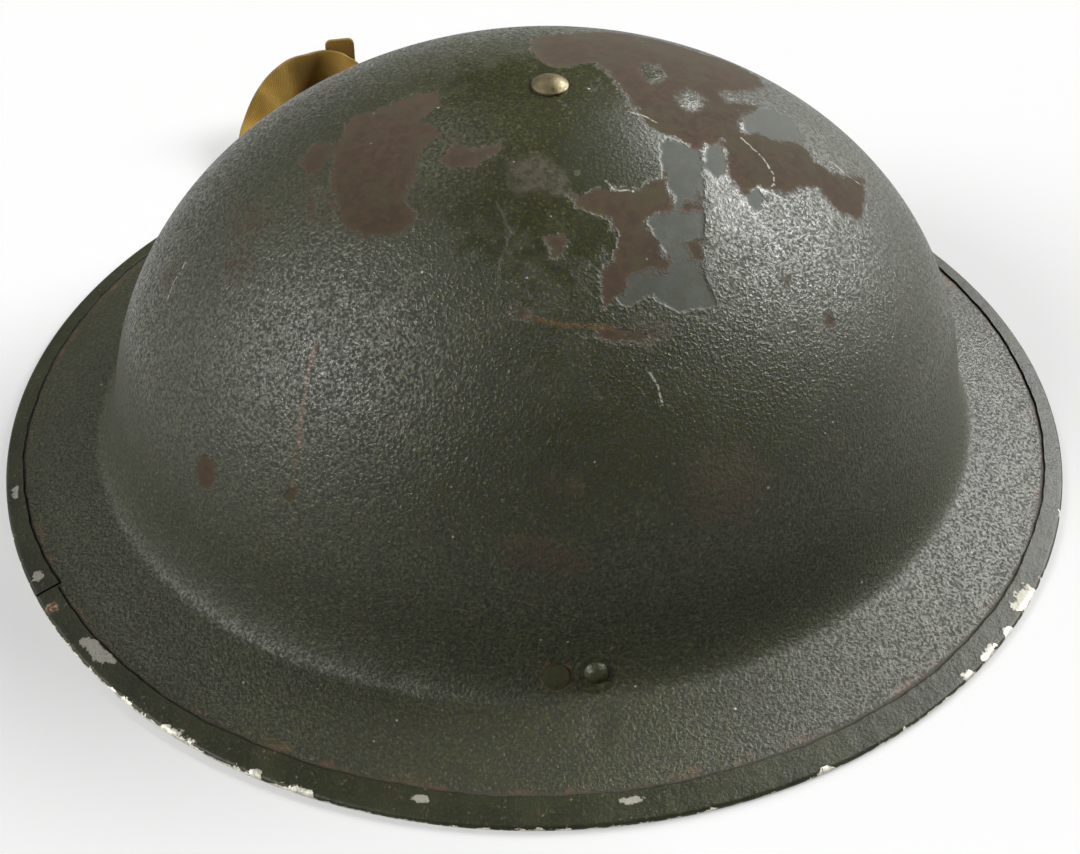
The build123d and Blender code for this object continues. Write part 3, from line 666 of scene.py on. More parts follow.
def worn_paint(colours, grain_depth):
    """Rough olive paint, flaked and rubbed through to primer and smooth undercoats."""
    paint = Finish("worn_olive_paint", specular=0.32)
    wear = paint_wear(paint)
    height = paint.times(wear.grain, paint.step(wear.coat, 0.0, 1.0, 0.10, 1.0))
    height = paint.plus(height, paint.times(wear.bare, -0.28))
    height = paint.plus(height, paint.times(wear.rivet_ring, 0.4))
    base = paint_colour(paint, wear, colours)
    return paint.dress(base, paint_roughness(paint, wear), paint.bump(height, grain_depth))


def chipped_rim_paint(colours):
    """Painted stainless strip, chipped to bright metal along its outer edge."""
    rim = Finish("chipped_rim_paint", specular=0.2)
    place = rim.place()
    ragged = rim.noise(place, 0.27, 6.0, 0.68)
    fine = rim.noise(place, 1.3, 3.0, 0.6)
    cloud = rim.noise(place, 0.08, 3.0, 0.6)
    field = rim.plus(rim.times(ragged, 2.2), rim.times(fine, 0.7))
    field = rim.plus(rim.attribute("exposed"), field)
    bare = rim.step(field, 2.01, 2.07)
    chip_edge = rim.times(rim.step(field, 1.90, 1.99), rim.inverse(bare))
    flecks = rim.times(rim.step(fine, 0.60, 0.66), rim.step(ragged, 0.52, 0.62))
    flecks = rim.times(flecks, rim.inverse(bare))

    slaty = (colours.paint[0] * 0.56, colours.paint[1] * 0.58, colours.paint[2] * 0.62)
    paint = rim.blend(rim.step(cloud, 0.35, 0.65), tone(slaty, 0.75), tone(slaty, 1.25))
    paint = rim.lay(paint, tone(colours.paint, 1.6), rim.step(fine, 0.50, 0.66), 0.35)
    paint = rim.lay(paint, tone(colours.bare_metal, 0.20), flecks, 0.6)
    paint = rim.lay(paint, tone(colours.rust), rim.step(ragged, 0.60, 0.70), 0.35)
    paint = rim.lay(paint, tone(colours.primer, 0.7), chip_edge, 0.5)
    weld = rim.step(rim.plus(rim.attribute("weld"), rim.times(ragged, 1.4)), 1.0, 1.35)
    paint = rim.blend(weld, paint, rim.blend(rim.step(fine, 0.4, 0.62), *WELD_TONES))
    metal = rim.blend(
        rim.step(ragged, 0.44, 0.60), tone(colours.bare_metal, 0.55), tone(colours.bare_metal)
    )
    on_leaf = rim.inverse(rim.attribute("roll"))
    metal = rim.blend(on_leaf, metal, tone(colours.bare_metal, 0.33))
    metal = rim.lay(metal, tone(colours.bare_metal, 0.24), rim.step(fine, 0.48, 0.62), 0.5)
    rim.feed(rim.shader.inputs["Metallic"], rim.times(bare, 0.35))
    height = rim.plus(rim.times(rim.inverse(bare), 0.45), rim.times(ragged, 0.9))
    height = rim.plus(height, rim.plus(rim.times(fine, 0.3), rim.times(flecks, -0.3)))
    base = rim.blend(bare, paint, metal)
    return rim.dress(base, rim.vary(bare, 0.42, 0.50), rim.bump(height, 0.0004))


def rivet_paint(colours):
    """Olive paint on the rivet heads, rubbed on their crowns."""
    paint = Finish("rivet_paint", specular=0.3)
    place = paint.place()
    ragged = paint.noise(place, 0.6, 5.0, 0.65)
    cloud = paint.noise(place, 0.2, 4.0, 0.6)
    base = paint.blend(cloud, tone(colours.paint, 0.7), tone(colours.paint, 1.2))
    base = paint.lay(base, tone(colours.primer), paint.step(ragged, 0.56, 0.68), 0.55)
    return paint.dress(base, paint.vary(ragged, 0.28, 0.42), paint.bump(ragged, 0.0004))


def tarnished_brass(colours):
    """Dull brass, brown in its low places and worn bright in streaks."""
    brass = Finish("tarnished_brass")
    place = brass.place()
    cloud = brass.noise(place, 0.45, 6.0, 0.65)
    fine = brass.noise(place, 2.2, 4.0, 0.6)
    tarnish = brass.step(brass.plus(cloud, brass.times(fine, 0.35)), 0.48, 0.78)
    base = brass.blend(tarnish, tone(colours.brass), tone(colours.brass, 0.42))
    base = brass.lay(base, tone(colours.brass, 1.6), brass.step(fine, 0.62, 0.74), 0.5)
    brass.feed(brass.shader.inputs["Metallic"], brass.step(tarnish, 0.0, 1.0, 0.95, 0.6))
    height = brass.plus(cloud, brass.times(fine, 0.5))
    return brass.dress(base, brass.vary(tarnish, 0.33, 0.55), brass.bump(height, 0.00009))


def dull_steel(colours):
    """Dull steel with a thin bloom of rust."""
    steel = Finish("dull_steel")
    place = steel.place()
    cloud = steel.noise(place, 0.3, 6.0, 0.65)
    fine = steel.noise(place, 1.8, 4.0, 0.6)
    rusty = steel.step(steel.plus(cloud, steel.times(fine, 0.25)), 0.60, 0.76)
    base = steel.blend(fine, tone(colours.steel, 0.75), tone(colours.steel, 1.25))
    base = steel.blend(rusty, base, tone(colours.rust))
    steel.feed(steel.shader.inputs["Metallic"], steel.inverse(rusty))
    height = steel.plus(cloud, steel.times(fine, 0.6))
    return steel.dress(base, steel.vary(rusty, 0.40, 0.78), steel.bump(height, 0.00012))


def vulcanised_fibre(colours):
    """Dark hard fibre with a faint long grain and rubbed highlights."""
    fibre = Finish("vulcanised_fibre")
    place = fibre.place()
    grain = fibre.noise(fibre.vector("MULTIPLY", place, (0.25, 0.25, 1.0)), 0.9, 6.0, 0.7)
    cloud = fibre.noise(place, 0.06, 4.0, 0.6)
    base = fibre.blend(cloud, tone(colours.fibre, 0.75), tone(colours.fibre, 1.35))
    base = fibre.lay(base, tone(colours.fibre, 1.9), fibre.step(grain, 0.52, 0.7), 0.4)
    return fibre.dress(base, fibre.vary(grain, 0.38, 0.60), fibre.bump(grain, 0.00012))


def aged_rubber(colours):
    """Matt rubber with fine crazing and a dusty bloom."""
    rubber = Finish("aged_rubber")
    place = rubber.place()
    cracks = rubber.fall(rubber.cells(place, 0.55, "DISTANCE_TO_EDGE"), 0.02, 0.09)
    bloom = rubber.noise(place, 0.12, 5.0, 0.65)
    fine = rubber.noise(place, 1.6, 3.0, 0.6)
    base = rubber.blend(
        rubber.step(bloom, 0.4, 0.7), tone(colours.rubber), tone(colours.rubber, 1.9)
    )
    base = rubber.lay(base, tone(colours.rubber, 0.5), cracks, 0.5)
    height = rubber.minus(rubber.times(fine, 0.6), cracks)
    return rubber.dress(base, rubber.vary(bloom, 0.66, 0.88), rubber.bump(height, 0.00014))


def grained_leathercloth(colours):
    """Black coated cloth with a pebbled grain, worn grey on its folds."""
    cloth = Finish("grained_leathercloth")
    place = cloth.place()
    pebbles = cloth.cells(place, 0.85, "DISTANCE_TO_EDGE")
    grain = cloth.step(pebbles, 0.0, 0.22)
    drawn = cloth.vector("MULTIPLY", place, (1.0, 1.0, 0.35))
    creases = cloth.noise(drawn, 0.13, 5.0, 0.65, 0.5)
    worn = cloth.step(cloth.noise(place, 0.07, 6.0, 0.65), 0.52, 0.72)
    base = cloth.blend(grain, tone(colours.leathercloth, 0.55), tone(colours.leathercloth))
    base = cloth.lay(base, tone(colours.leathercloth, 2.4), worn, 0.5)
    height = cloth.plus(cloth.times(grain, 0.6), cloth.times(creases, 1.8))
    return cloth.dress(base, cloth.vary(worn, 0.42, 0.66), cloth.bump(height, 0.00022))


def cotton_lace(colours):
    """Off-white cotton cord, soiled, with its fibres along the strands."""
    lace = Finish("cotton_lace")
    place = lace.place()
    fuzz = lace.noise(place, 3.2, 4.0, 0.7)
    soil = lace.noise(place, 0.2, 4.0, 0.6)
    base = lace.blend(lace.step(soil, 0.4, 0.7), tone(colours.lace), tone(colours.lace, 0.55))
    base = lace.lay(base, tone(colours.lace, 1.4), fuzz, 0.4)
    return lace.dress(base, lace.vary(fuzz, 0.8, 0.95), lace.bump(fuzz, 0.0002))


def woven_webbing(colours):
    """Mustard-tan webbing in a fine twill, with a soiled edge, stray fibres and stitches."""
    web = Finish("woven_webbing", specular=0.2)
    web.set("Sheen Weight", 0.08)
    web.set("Sheen Roughness", 0.5)
    place = web.place()
    across, along = web.parts(web.flat_map("weave_map"))
    fuzz = web.noise(place, 2.6, 5.0, 0.7)
    soil = web.noise(place, 0.09, 5.0, 0.65)
    patchy = web.noise(place, 0.4, 5.0, 0.7)
    lean = web.plus(web.times(across, 0.5), along)
    rib = web.math("SINE", web.times(web.plus(lean, web.times(fuzz, 0.16)), 8.6))
    warp = web.math("SINE", web.times(across, 11.5))
    twill = web.plus(web.times(rib, 0.5), web.times(web.times(rib, warp), 0.35))
    off_middle = web.math("ABSOLUTE", across)
    stitch_row = web.math("ABSOLUTE", web.minus(off_middle, 8.8))
    stitch = web.step(web.math("SINE", web.times(along, 2.6)), -0.1, 0.2)
    thread = web.times(web.fall(stitch_row, 0.25, 0.5), stitch)
    thread = web.times(thread, web.attribute("stitched"))
    base = web.blend(
        web.step(twill, -0.8, 0.7), tone(colours.webbing, 0.78), tone(colours.webbing)
    )
    for mask, share, factor in (
        (web.step(soil, 0.42, 0.68), 0.55, 0.55),
        (web.step(patchy, 0.5, 0.75), 0.35, 1.35),
        (web.step(off_middle, 10.6, 12.3), 0.4, 0.6),
        (thread, 0.9, 1.9),
    ):
        base = web.lay(base, tone(colours.webbing, factor), mask, share)
    height = web.plus(web.plus(web.times(twill, 0.6), web.times(fuzz, 1.2)), web.times(thread, 1.2))
    return web.dress(base, web.vary(fuzz, 0.78, 0.95), web.bump(height, 0.00016))


def pale_floor(colours):
    """Plain pale floor with the faintest of grain, lifted so that it stays pale to the camera."""
    floor = Finish("pale_floor", specular=0.0)
    grain = floor.noise(floor.place(), 0.02, 3.0, 0.5)
    base = floor.blend(grain, tone(colours.floor, 0.985), tone(colours.floor))
    made = floor.dress(base, 0.75, floor.bump(grain, 0.0001, 0.1))
    path = floor.node("LightPath")
    seen = floor.most(path.outputs["Is Camera Ray"], path.outputs["Is Glossy Ray"])
    glow = floor.node("Emission")
    floor.feed(glow.inputs["Color"], FLOOR_GLOW)
    lifted = floor.node("MixShader")
    floor.feed(lifted.inputs[0], floor.times(seen, 0.45))
    floor.feed(lifted.inputs[1], floor.shader.outputs["BSDF"])
    floor.feed(lifted.inputs[2], glow.outputs["Emission"])
    floor.feed(floor.output.inputs["Surface"], lifted.outputs["Shader"])
    return made


FINISHES = {
    "chipped_rim_paint": chipped_rim_paint,
    "rivet_paint": rivet_paint,
    "tarnished_brass": tarnished_brass,
    "dull_steel": dull_steel,
    "vulcanised_fibre": vulcanised_fibre,
    "aged_rubber": aged_rubber,
    "grained_leathercloth": grained_leathercloth,
    "cotton_lace": cotton_lace,
    "woven_webbing": woven_webbing,
    "pale_floor": pale_floor,
}


def finish(name, scene):
    """The named material, made the first time that a piece asks for it."""
    if name not in bpy.data.materials:
        if name == "worn_olive_paint":
            worn_paint(scene.helmet_colours, scene.helmet_sizes.peel_depth)
        else:
            FINISHES[name](scene.helmet_colours)
    return bpy.data.materials[name]


def piece(name, points, faces, material, sharp=None):
    """A mesh piece at the origin, with points in millimetres."""
    mesh = bpy.data.meshes.new(name)
    mesh.from_pydata((np.asarray(points, float) * MM).tolist(), [], faces)
    mesh.materials.append(material)
    mesh.shade_smooth()
    if sharp is not None:
        mesh.set_sharp_from_angle(angle=math.radians(sharp))
    made = bpy.data.objects.new(name, mesh)
    bpy.context.scene.collection.objects.link(made)
    return made


def dress_node(name, material):
    """The CAD node keeps its shape and gets a procedural material."""
    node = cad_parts[name]
    node.data.materials.clear()
    node.data.materials.append(material)
    return node


def note(made, name, values):
    """One number for each vertex, for the materials to read."""
    layer = made.data.attributes.new(name, "FLOAT", "POINT")
    layer.data.foreach_set("value", np.asarray(values, np.float32))


def map_flat(made, name, places):
    """A flat map for the mesh, from one place for each vertex."""
    layer = made.data.uv_layers.new(name=name)
    corners = np.empty(len(made.data.loops), np.int32)
    made.data.loops.foreach_get("vertex_index", corners)
    layer.data.foreach_set("uv", np.asarray(places, np.float32)[corners].ravel())


def ring_faces(rows, columns, closed=True, first=0, looped=False):
    """Quads between rings of points that follow one another, looped if the last meets the first."""
    faces = []
    steps = columns if closed else columns - 1
    for row in range(rows if looped else rows - 1):
        low = first + row * columns
        high = first + (row + 1) % rows * columns
        for column in range(steps):
            after = (column + 1) % columns
            faces.append((low + column, low + after, high + after, high + column))
    return faces


def along_curve(first, corner, last, share):
    """A place on a curve that bends from first to last towards the corner."""
    back = 1 - share
    return back**2 * first + 2 * back * share * corner + share**2 * last


def oval(half_length, half_width, bearings):
    """Places on an oval in plan, at bearings in radians."""
    return np.stack([half_length * np.cos(bearings), half_width * np.sin(bearings)], -1)


class ShellForm:
    """The shell's curves in millimetres, as the part's source has them."""

    def __init__(self, sizes):
        self.wall = sizes.shell_wall / MM
        self.dome = (sizes.dome_length / MM / 2, sizes.dome_width / MM / 2)
        self.waist = sizes.waist_height / MM
        self.crease = sizes.crease_height / MM
        self.fillet_top = sizes.fillet_top / MM
        self.rise = sizes.crown_height / MM - self.waist
        self.fold = self.wall / 2 + STRIP_CLEARANCE + sizes.strip_gauge / MM
        brim = (sizes.brim_length, sizes.brim_width)
        self.edge = tuple(full / MM / 2 - self.fold + STRIP_REACH for full in brim)
        self.edge_top = self.fold - LAND_DEPTH - STRIP_REACH * BRIM_SLOPE + self.wall / 2

    def fillet_shares(self, inset):
        """Shares of the dome's half size at the fillet's top and at the corner it rounds off."""
        rise = self.rise - inset
        sine = (self.fillet_top - self.waist) / rise
        share = math.sqrt(1 - sine**2)
        return share, share + (self.fillet_top - self.crease + inset) / rise * sine / share

    def rings(self, inset, dome_steps, fillet_steps, brim_steps):
        """Half length, half width and height of each ring, from the crown to the brim's edge."""
        share, corner_share = self.fillet_shares(inset)
        outer_corner = self.fillet_shares(0)[1]
        rise = self.rise - inset
        foot = math.asin((self.fillet_top - self.waist) / rise)
        rings = []
        for step in range(1, dome_steps + 1):
            turn = math.pi / 2 + (foot - math.pi / 2) * step / dome_steps
            half = [(side - inset) * math.cos(turn) for side in self.dome]
            rings.append((*half, self.waist + rise * math.sin(turn)))
        band_z = self.edge_top + FLAT_BAND * BRIM_SLOPE - inset
        end_z = self.crease - inset + (band_z - self.crease + inset) * BRIM_FILLET
        ends = [
            side * outer_corner + (edge - FLAT_BAND - side * outer_corner) * BRIM_FILLET
            for side, edge in zip(self.dome, self.edge)
        ]
        for step in range(1, fillet_steps + 1):
            part = step / fillet_steps
            half = [
                along_curve((side - inset) * share, (side - inset) * corner_share, end, part)
                for side, end in zip(self.dome, ends)
            ]
            rings.append((*half, along_curve(self.fillet_top, self.crease - inset, end_z, part)))
        for step in range(1, brim_steps + 1):
            part = step / brim_steps
            half = [end + (edge - FLAT_BAND - end) * part for end, edge in zip(ends, self.edge)]
            rings.append((*half, end_z + (band_z - end_z) * part))
        for step in range(1, 6):
            part = step / 5
            half = [edge - FLAT_BAND * (1 - part) for edge in self.edge]
            rings.append((*half, band_z + (self.edge_top - inset - band_z) * part))
        return np.array(rings)


def depth_inside(outlines, places):
    """How far inside the nearest outline each place is; less than nothing outside them."""
    best = np.full(len(places), -WORN_REACH)
    for outline in outlines:
        corners = np.array(outline, float)
        distance = np.full(len(places), 1e6)
        inside = np.zeros(len(places), bool)
        for here, there in zip(corners, np.roll(corners, -1, 0)):
            along = there - here
            share = np.clip((places - here) @ along / (along @ along), 0, 1)
            distance = np.minimum(distance, np.hypot(*(places - here - share[:, None] * along).T))
            if here[1] != there[1]:
                meets = along[0] * (places[:, 1] - here[1]) / along[1] + here[0]
                between = (here[1] > places[:, 1]) != (there[1] > places[:, 1])
                inside ^= between & (places[:, 0] < meets)
        best = np.maximum(best, np.where(inside, distance, -distance))
    return np.clip(best, -WORN_REACH, WORN_REACH)


def reach_along(rings, top):
    """Distance of each ring from the crown along the surface."""
    middle = (rings[:, 0] + rings[:, 1]) / 2
    start = math.hypot(middle[0], top - rings[0, 2])
    steps = np.hypot(np.diff(middle), np.diff(rings[:, 2]))
    return start + np.concatenate([[0], np.cumsum(steps)])


def build_shell(scene):
    """The pressed shell, with a flat map and the depths of its worn places for the paint."""
    form = ShellForm(scene.helmet_sizes)
    top = form.rise + form.waist
    columns = SHELL_COLUMNS
    bearings = np.radians(np.arange(columns) * 360.0 / columns)
    outer = form.rings(0, *OUTER_STEPS)
    inner = form.rings(form.wall, *INNER_STEPS)
    rings = np.concatenate([outer, inner[::-1]])
    reach = np.concatenate([reach_along(outer, top), reach_along(inner, top)[::-1]])
    plan = oval(rings[:, 0:1], rings[:, 1:2], bearings)
    heights = np.repeat(rings[:, 2:3], columns, 1)
    points = np.concatenate([plan, heights[..., None]], -1).reshape(-1, 3)
    flat = oval(reach[:, None], reach[:, None], bearings).reshape(-1, 2)
    for east, north, half, depth in DENTS:
        gap = np.hypot(flat[:, 0] - east, flat[:, 1] - north) / half
        points[:, 2] -= depth * np.exp(-(gap**2) * 2)

    crown = len(points)
    points = np.concatenate([points, [(0, 0, top), (0, 0, top - form.wall)]])
    flat = np.concatenate([flat, [(0, 0), (0, 0)]])
    faces = ring_faces(len(rings), columns)
    last = (len(rings) - 1) * columns
    for column in range(columns):
        after = (column + 1) % columns
        faces.append((crown, after, column))
        faces.append((crown + 1, last + column, last + after))
    faces = [face[::-1] for face in faces]
    shell = piece("steel_shell", points, faces, finish("worn_olive_paint", scene), 50)

    inside = np.concatenate(
        [np.zeros(len(outer) * columns), np.ones(len(inner) * columns), [0, 1]]
    )
    primer = depth_inside(PRIMER_PATCHES, flat)
    fields = {
        "primer": np.minimum(primer, -depth_inside(PRIMER_ISLANDS, flat)),
        "rubbed": depth_inside(RUBBED_PATCHES, flat),
        "grey_coat": depth_inside(GREY_PATCHES, flat),
        "slate_coat": depth_inside(SLATE_PATCHES, flat),
    }
    for name, field in fields.items():
        note(shell, name, np.where(inside > 0, -WORN_REACH, field))
    note(shell, "inner_face", inside)
    rows = np.concatenate([np.repeat(reach, columns), [0, 0]])
    around = np.concatenate([np.tile(bearings, len(rings)), [0, 0]])
    note(shell, "reach", rows)
    note(shell, "past_leaf", rows - (LEAF_REACH - leaf_width_at(around)))
    map_flat(shell, "flat_map", flat)
    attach(shell, "helmet")
    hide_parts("shell")


def strip_section(form, gauge, leaf_width):
    """The folded strip's outline, with each corner's run in from the edge and share of the leaf."""
    slope = math.atan(BRIM_SLOPE)
    inward = np.array([-math.cos(slope), math.sin(slope)])
    across = np.array([math.sin(slope), math.cos(slope)])
    centre = np.array([-form.fold, form.fold - LAND_DEPTH])
    inner_fold = form.fold - gauge
    corners = []

    def leaf(height, part, run, share=0.0):
        corners.append((*(centre + across * height + inward * leaf_width * part), run, share))

    def fold(radius, angle, run):
        turned = across * math.cos(angle) - inward * math.sin(angle)
        corners.append((*(centre + radius * turned), run, 0.0))

    for part in np.concatenate([[1.0, 0.97], np.linspace(0.9, 0.1, 9)]):
        lift = 0.0 if part < 0.99 else -0.2
        leaf(form.fold + lift, part, form.fold + leaf_width * part, part)
    for angle in (math.pi * step / 14 for step in range(15)):
        fold(form.fold, angle, form.fold * math.cos(angle))
    for part in (0.3, 0.65, 1.0):
        leaf(-form.fold, part, -form.fold - leaf_width * part)
    for part in (1.0, 0.5):
        leaf(-inner_fold, part, HIDDEN_RUN)
    for step in range(9):
        fold(inner_fold, math.pi * (1 - step / 8), HIDDEN_RUN)
    for part in (0.5, 0.97, 1.0):
        leaf(inner_fold if part < 1.0 else inner_fold + 0.2, part, HIDDEN_RUN, part)
    corners = np.array(corners)
    corners[:, 1] = np.maximum(corners[:, 1], 0.0)
    return corners[:, :2], corners[:, 2], corners[:, 3]


def run_round_edge(degrees, bearing):
    """Distance along the rim from a bearing, in millimetres."""
    return ((degrees - bearing + 180) % 360 - 180) * math.pi / 180 * RIM_RADIUS


def build_rim_strip(scene):
    """The strip folded round the brim's edge, with its butt joint and the wear on its paint."""
    sizes = scene.helmet_sizes
    leaf_width = sizes.strip_leaf / MM
    half_length = sizes.brim_length / MM / 2
    half_width = sizes.brim_width / MM / 2
    section, inward_run, leaf_share = strip_section(
        ShellForm(sizes), sizes.strip_gauge / MM, leaf_width
    )
    steps = 1100
    gap = math.degrees(BUTT_GAP / (half_length * 2))
    bearings = np.radians(BUTT_BEARING + gap + (360 - 2 * gap) * np.arange(steps + 1) / steps)
    base = oval(half_length, half_width, bearings)
    out = np.stack([np.cos(bearings) / half_length, np.sin(bearings) / half_width], -1)
    out /= np.linalg.norm(out, axis=1)[:, None]
    ragged_edge = (
        0.16 * np.sin(bearings * 9 + 1)
        + 0.12 * np.sin(bearings * 23 + 2)
        + 0.10 * np.sin(bearings * 61)
        + 0.07 * np.sin(bearings * 131 + 4)
    )
    growth = leaf_width_at(bearings) - leaf_width
    slide = (ragged_edge + growth)[:, None] * leaf_share[None, :]
    local = section[None, :, :] + slide[..., None] * np.array([-1.0, BRIM_SLOPE])
    points = np.concatenate(
        [base[:, None, :] + out[:, None, :] * local[..., 0:1], local[..., 1:2]], -1
    )
    count = len(section)
    faces = [face[::-1] for face in ring_faces(steps + 1, count)]
    faces.append(tuple(range(count)))
    faces.append(tuple(reversed(range(steps * count, (steps + 1) * count))))
    paint = finish("chipped_rim_paint", scene)
    strip = piece("folded_rim_strip", points.reshape(-1, 3), faces, paint, 50)

    degrees = np.degrees(bearings) % 360
    run = inward_run[None, :] + (growth[:, None] * leaf_share[None, :])
    near_side = np.clip(-2.2 * np.sin(bearings), 0, 1)
    rubbed_left = np.exp(-(((degrees - 226) / 19) ** 4))
    rubbed_right = np.exp(-(((degrees - 311) / 13) ** 4))
    edge_wear = 0.36 + 0.34 * near_side + 0.55 * rubbed_left + 0.45 * rubbed_right
    exposed = edge_wear[:, None] * np.exp(-(((run + 0.35) / 1.15) ** 2))
    for bearing, inward_at, half_run, half_across in RIM_BARE:
        along = run_round_edge(degrees, bearing)
        spread = (along[:, None] / half_run) ** 2 + ((run - inward_at) / half_across) ** 2
        exposed = np.maximum(exposed, np.where(spread < 3.0, 0.66 + 0.34 * (1 - spread), 0))
    weld_away = run_round_edge(degrees, WELD_BEARING)
    weld = np.exp(-((weld_away[:, None] / 2.2) ** 2) - ((run - 2.4) / 1.6) ** 2)
    note(strip, "exposed", exposed.ravel())
    note(strip, "roll", np.clip((1.9 - run) / 0.8, 0, 1).ravel())
    note(strip, "weld", weld.ravel())
    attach(strip, "helmet")
    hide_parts("rim_strip")


def build_crown_bolt(scene):
    """Materials of the screw through the crown and what it holds."""
    brass = finish("tarnished_brass", scene)
    for name in ("crown_screw", "crown_nut"):
        dress_node(name, brass)
    dress_node("crown_washer", finish("dull_steel", scene))
    dress_node("crown_spacer", finish("vulcanised_fibre", scene))


def build_liner_frame(scene):
    """Materials of the cross straps, head band, rivets and buffers."""
    for name in ("hanger_long", "hanger_side", "head_band"):
        dress_node(name, finish("vulcanised_fibre", scene))
    dress_node("band_rivets", finish("dull_steel", scene))
    for number in range(1, 9):
        dress_node(f"rubber_buffer_{number}", finish("aged_rubber", scene))


def build_sweatband(scene):
    """The cloth folded round the head band's lower edge, a little puckered."""
    low, high = (np.array(corner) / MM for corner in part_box("sweatband"))
    gauge, fold = 1.2, 4.5
    outer = high[:2]
    inner = outer - fold
    top, bottom = high[2], low[2]
    turn_up = [(0.0, 6), (0.06, 3), (0.22, 1.0), (0.5, 0.1)]
    turn_up += [(0.78, 0.8), (0.94, 2.5), (1.0, 4.5), (1.0, 7.0)]
    profile = [(0.0, top), (0.0, top - 3)]
    profile += [(0.0, height) for height in np.linspace(top - 3, bottom + 6, 12)[1:-1]]
    profile += [(share, bottom + lift) for share, lift in turn_up]
    columns = 360
    bearings = np.radians(np.arange(columns) * 360.0 / columns)
    rows = []
    for share, height in profile:
        pucker = 0.18 * np.sin(bearings * 47) * math.exp(-((height - top + 4) ** 2) / 30)
        pucker = pucker + 0.14 * np.sin(bearings * 31 + height)
        halves = inner + (outer - inner) * share - gauge / 2 * (2 * share - 1)
        plan = oval(halves[0], halves[1], bearings) * (1 + pucker[:, None] / 95)
        rows.append(np.concatenate([plan, np.full((columns, 1), height)], 1))
    points = np.array(rows).reshape(-1, 3)
    cloth = finish("grained_leathercloth", scene)
    band = piece("leathercloth_sweatband", points, ring_faces(len(rows), columns), cloth)
    thick = band.modifiers.new("cloth_gauge", "SOLIDIFY")
    thick.thickness = gauge * 0.92 * MM
    thick.offset = 0.0
    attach(band, "helmet")
    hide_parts("sweatband")


def build_cradle(scene):
    """The cloth inside the band, cut into tongues that close in towards the crown."""
    low, high = (np.array(corner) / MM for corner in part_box("cradle"))
    gauge, spring, rise, end_share = 1.2, 46.0, 36.0, 0.27
    tongues, slit, slit_bottom, drawn_in = 8, 5.0, 52.0, 76
    half = high[:2] - gauge / 2
    heights = [low[2], low[2] + 2.7, low[2] + 5.4, spring]
    shares = [1.0, 1.0, 1.0, 1.0]
    steps = 34
    for step in range(1, steps + 1):
        turn = math.acos(end_share) * step / steps
        heights.append(spring + (rise - gauge / 2) * math.sin(turn))
        shares.append(math.cos(turn))
    columns = 22
    points = []
    for tongue in range(tongues):
        middle = 2 * math.pi * tongue / tongues
        for height, share in zip(heights, shares):
            radius = share * (half[0] + half[1]) / 2
            opening = 0.0
            if height > slit_bottom:
                short = max(0.0, 1 - (height - slit_bottom) / (slit / 2))
                opening = slit / 2 * math.sqrt(max(0.0, 1 - short**2))
            edge = max(math.pi / tongues - opening / radius, 0.02)
            top_run = max(0.0, (height - drawn_in) / (heights[-1] - drawn_in))
            swell = math.sin(math.pi * min(1.0, max(0.0, (height - 50) / 34)))
            for column in range(columns + 1):
                part = 2 * column / columns - 1
                angle = middle + edge * part * (1 - 0.10 * top_run)
                crown = 1 - part * part
                crease = 0.22 * math.sin(part * 9 + tongue) * top_run
                scale = share * (1 + (0.9 * crown * swell * 0.5 - 0.9) * 0.004)
                droop = 0.0 if height < spring else -0.25 * (1 - crown) - crease * 0.5
                x, y = half[0] * scale * math.cos(angle), half[1] * scale * math.sin(angle)
                points.append((x, y, height + droop))
    count = len(heights)
    faces = []
    for tongue in range(tongues):
        faces += ring_faces(count, columns + 1, False, tongue * count * (columns + 1))
    cradle = piece("leathercloth_cradle", points, faces, finish("grained_leathercloth", scene))
    weld = cradle.modifiers.new("join_tongues", "WELD")
    weld.merge_threshold = 0.00002
    thick = cradle.modifiers.new("cloth_gauge", "SOLIDIFY")
    thick.thickness = gauge * MM
    thick.offset = 0.0
    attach(cradle, "helmet")
    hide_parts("cradle")


def build_lace(scene):
    """The lace that draws the tongues in: a ring of three twisted strands."""
    low, high = (np.array(corner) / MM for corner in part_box("cradle_lace"))
    radius = (high[2] - low[2]) / 2
    middle_z = (high[2] + low[2]) / 2
    half = high[:2] - radius
    steps, sides, strands = 360, 7, 3
    twists = round(math.pi * (half[0] + half[1]) / 4.0)
    up = np.array([0, 0, 1.0])
    points = []
    faces = []
    for strand in range(strands):
        faces += ring_faces(steps, sides, first=len(points), looped=True)
        for step in range(steps):
            bearing = 2 * math.pi * step / steps
            centre = np.array([half[0] * math.cos(bearing), half[1] * math.sin(bearing), middle_z])
            out = np.array([math.cos(bearing) / half[0], math.sin(bearing) / half[1], 0])
            out /= np.linalg.norm(out)
            turn = bearing * twists + 2 * math.pi * strand / strands
            heart = centre + radius * 0.44 * (out * math.cos(turn) + up * math.sin(turn))
            for side in range(sides):
                angle = 2 * math.pi * side / sides
                spoke = out * math.cos(angle) + up * math.sin(angle)
                points.append(heart + radius * 0.54 * spoke)
    lace = piece("cradle_drawing_lace", points, faces, finish("cotton_lace", scene))
    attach(lace, "helmet")
    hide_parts("cradle_lace")


def build_crown_pad(scene):
    """The rubber pad, with the solid's form and edges softened as if moulded."""
    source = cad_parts["crown_pad"]
    mesh = source.data.copy()
    mesh.name = "moulded_crown_pad"
    pad = bpy.data.objects.new("moulded_crown_pad", mesh)
    bpy.context.scene.collection.objects.link(pad)
    mesh.transform(source.matrix_world)
    mesh.materials.clear()
    mesh.materials.append(finish("aged_rubber", scene))
    grid = pad.modifiers.new("even_grid", "REMESH")
    grid.mode = "VOXEL"
    grid.voxel_size = 0.0014
    grid.use_smooth_shade = True
    soft = pad.modifiers.new("moulded_edges", "SMOOTH")
    soft.factor = 0.5
    soft.iterations = 5
    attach(pad, "helmet")
    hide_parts("crown_pad")
    return pad


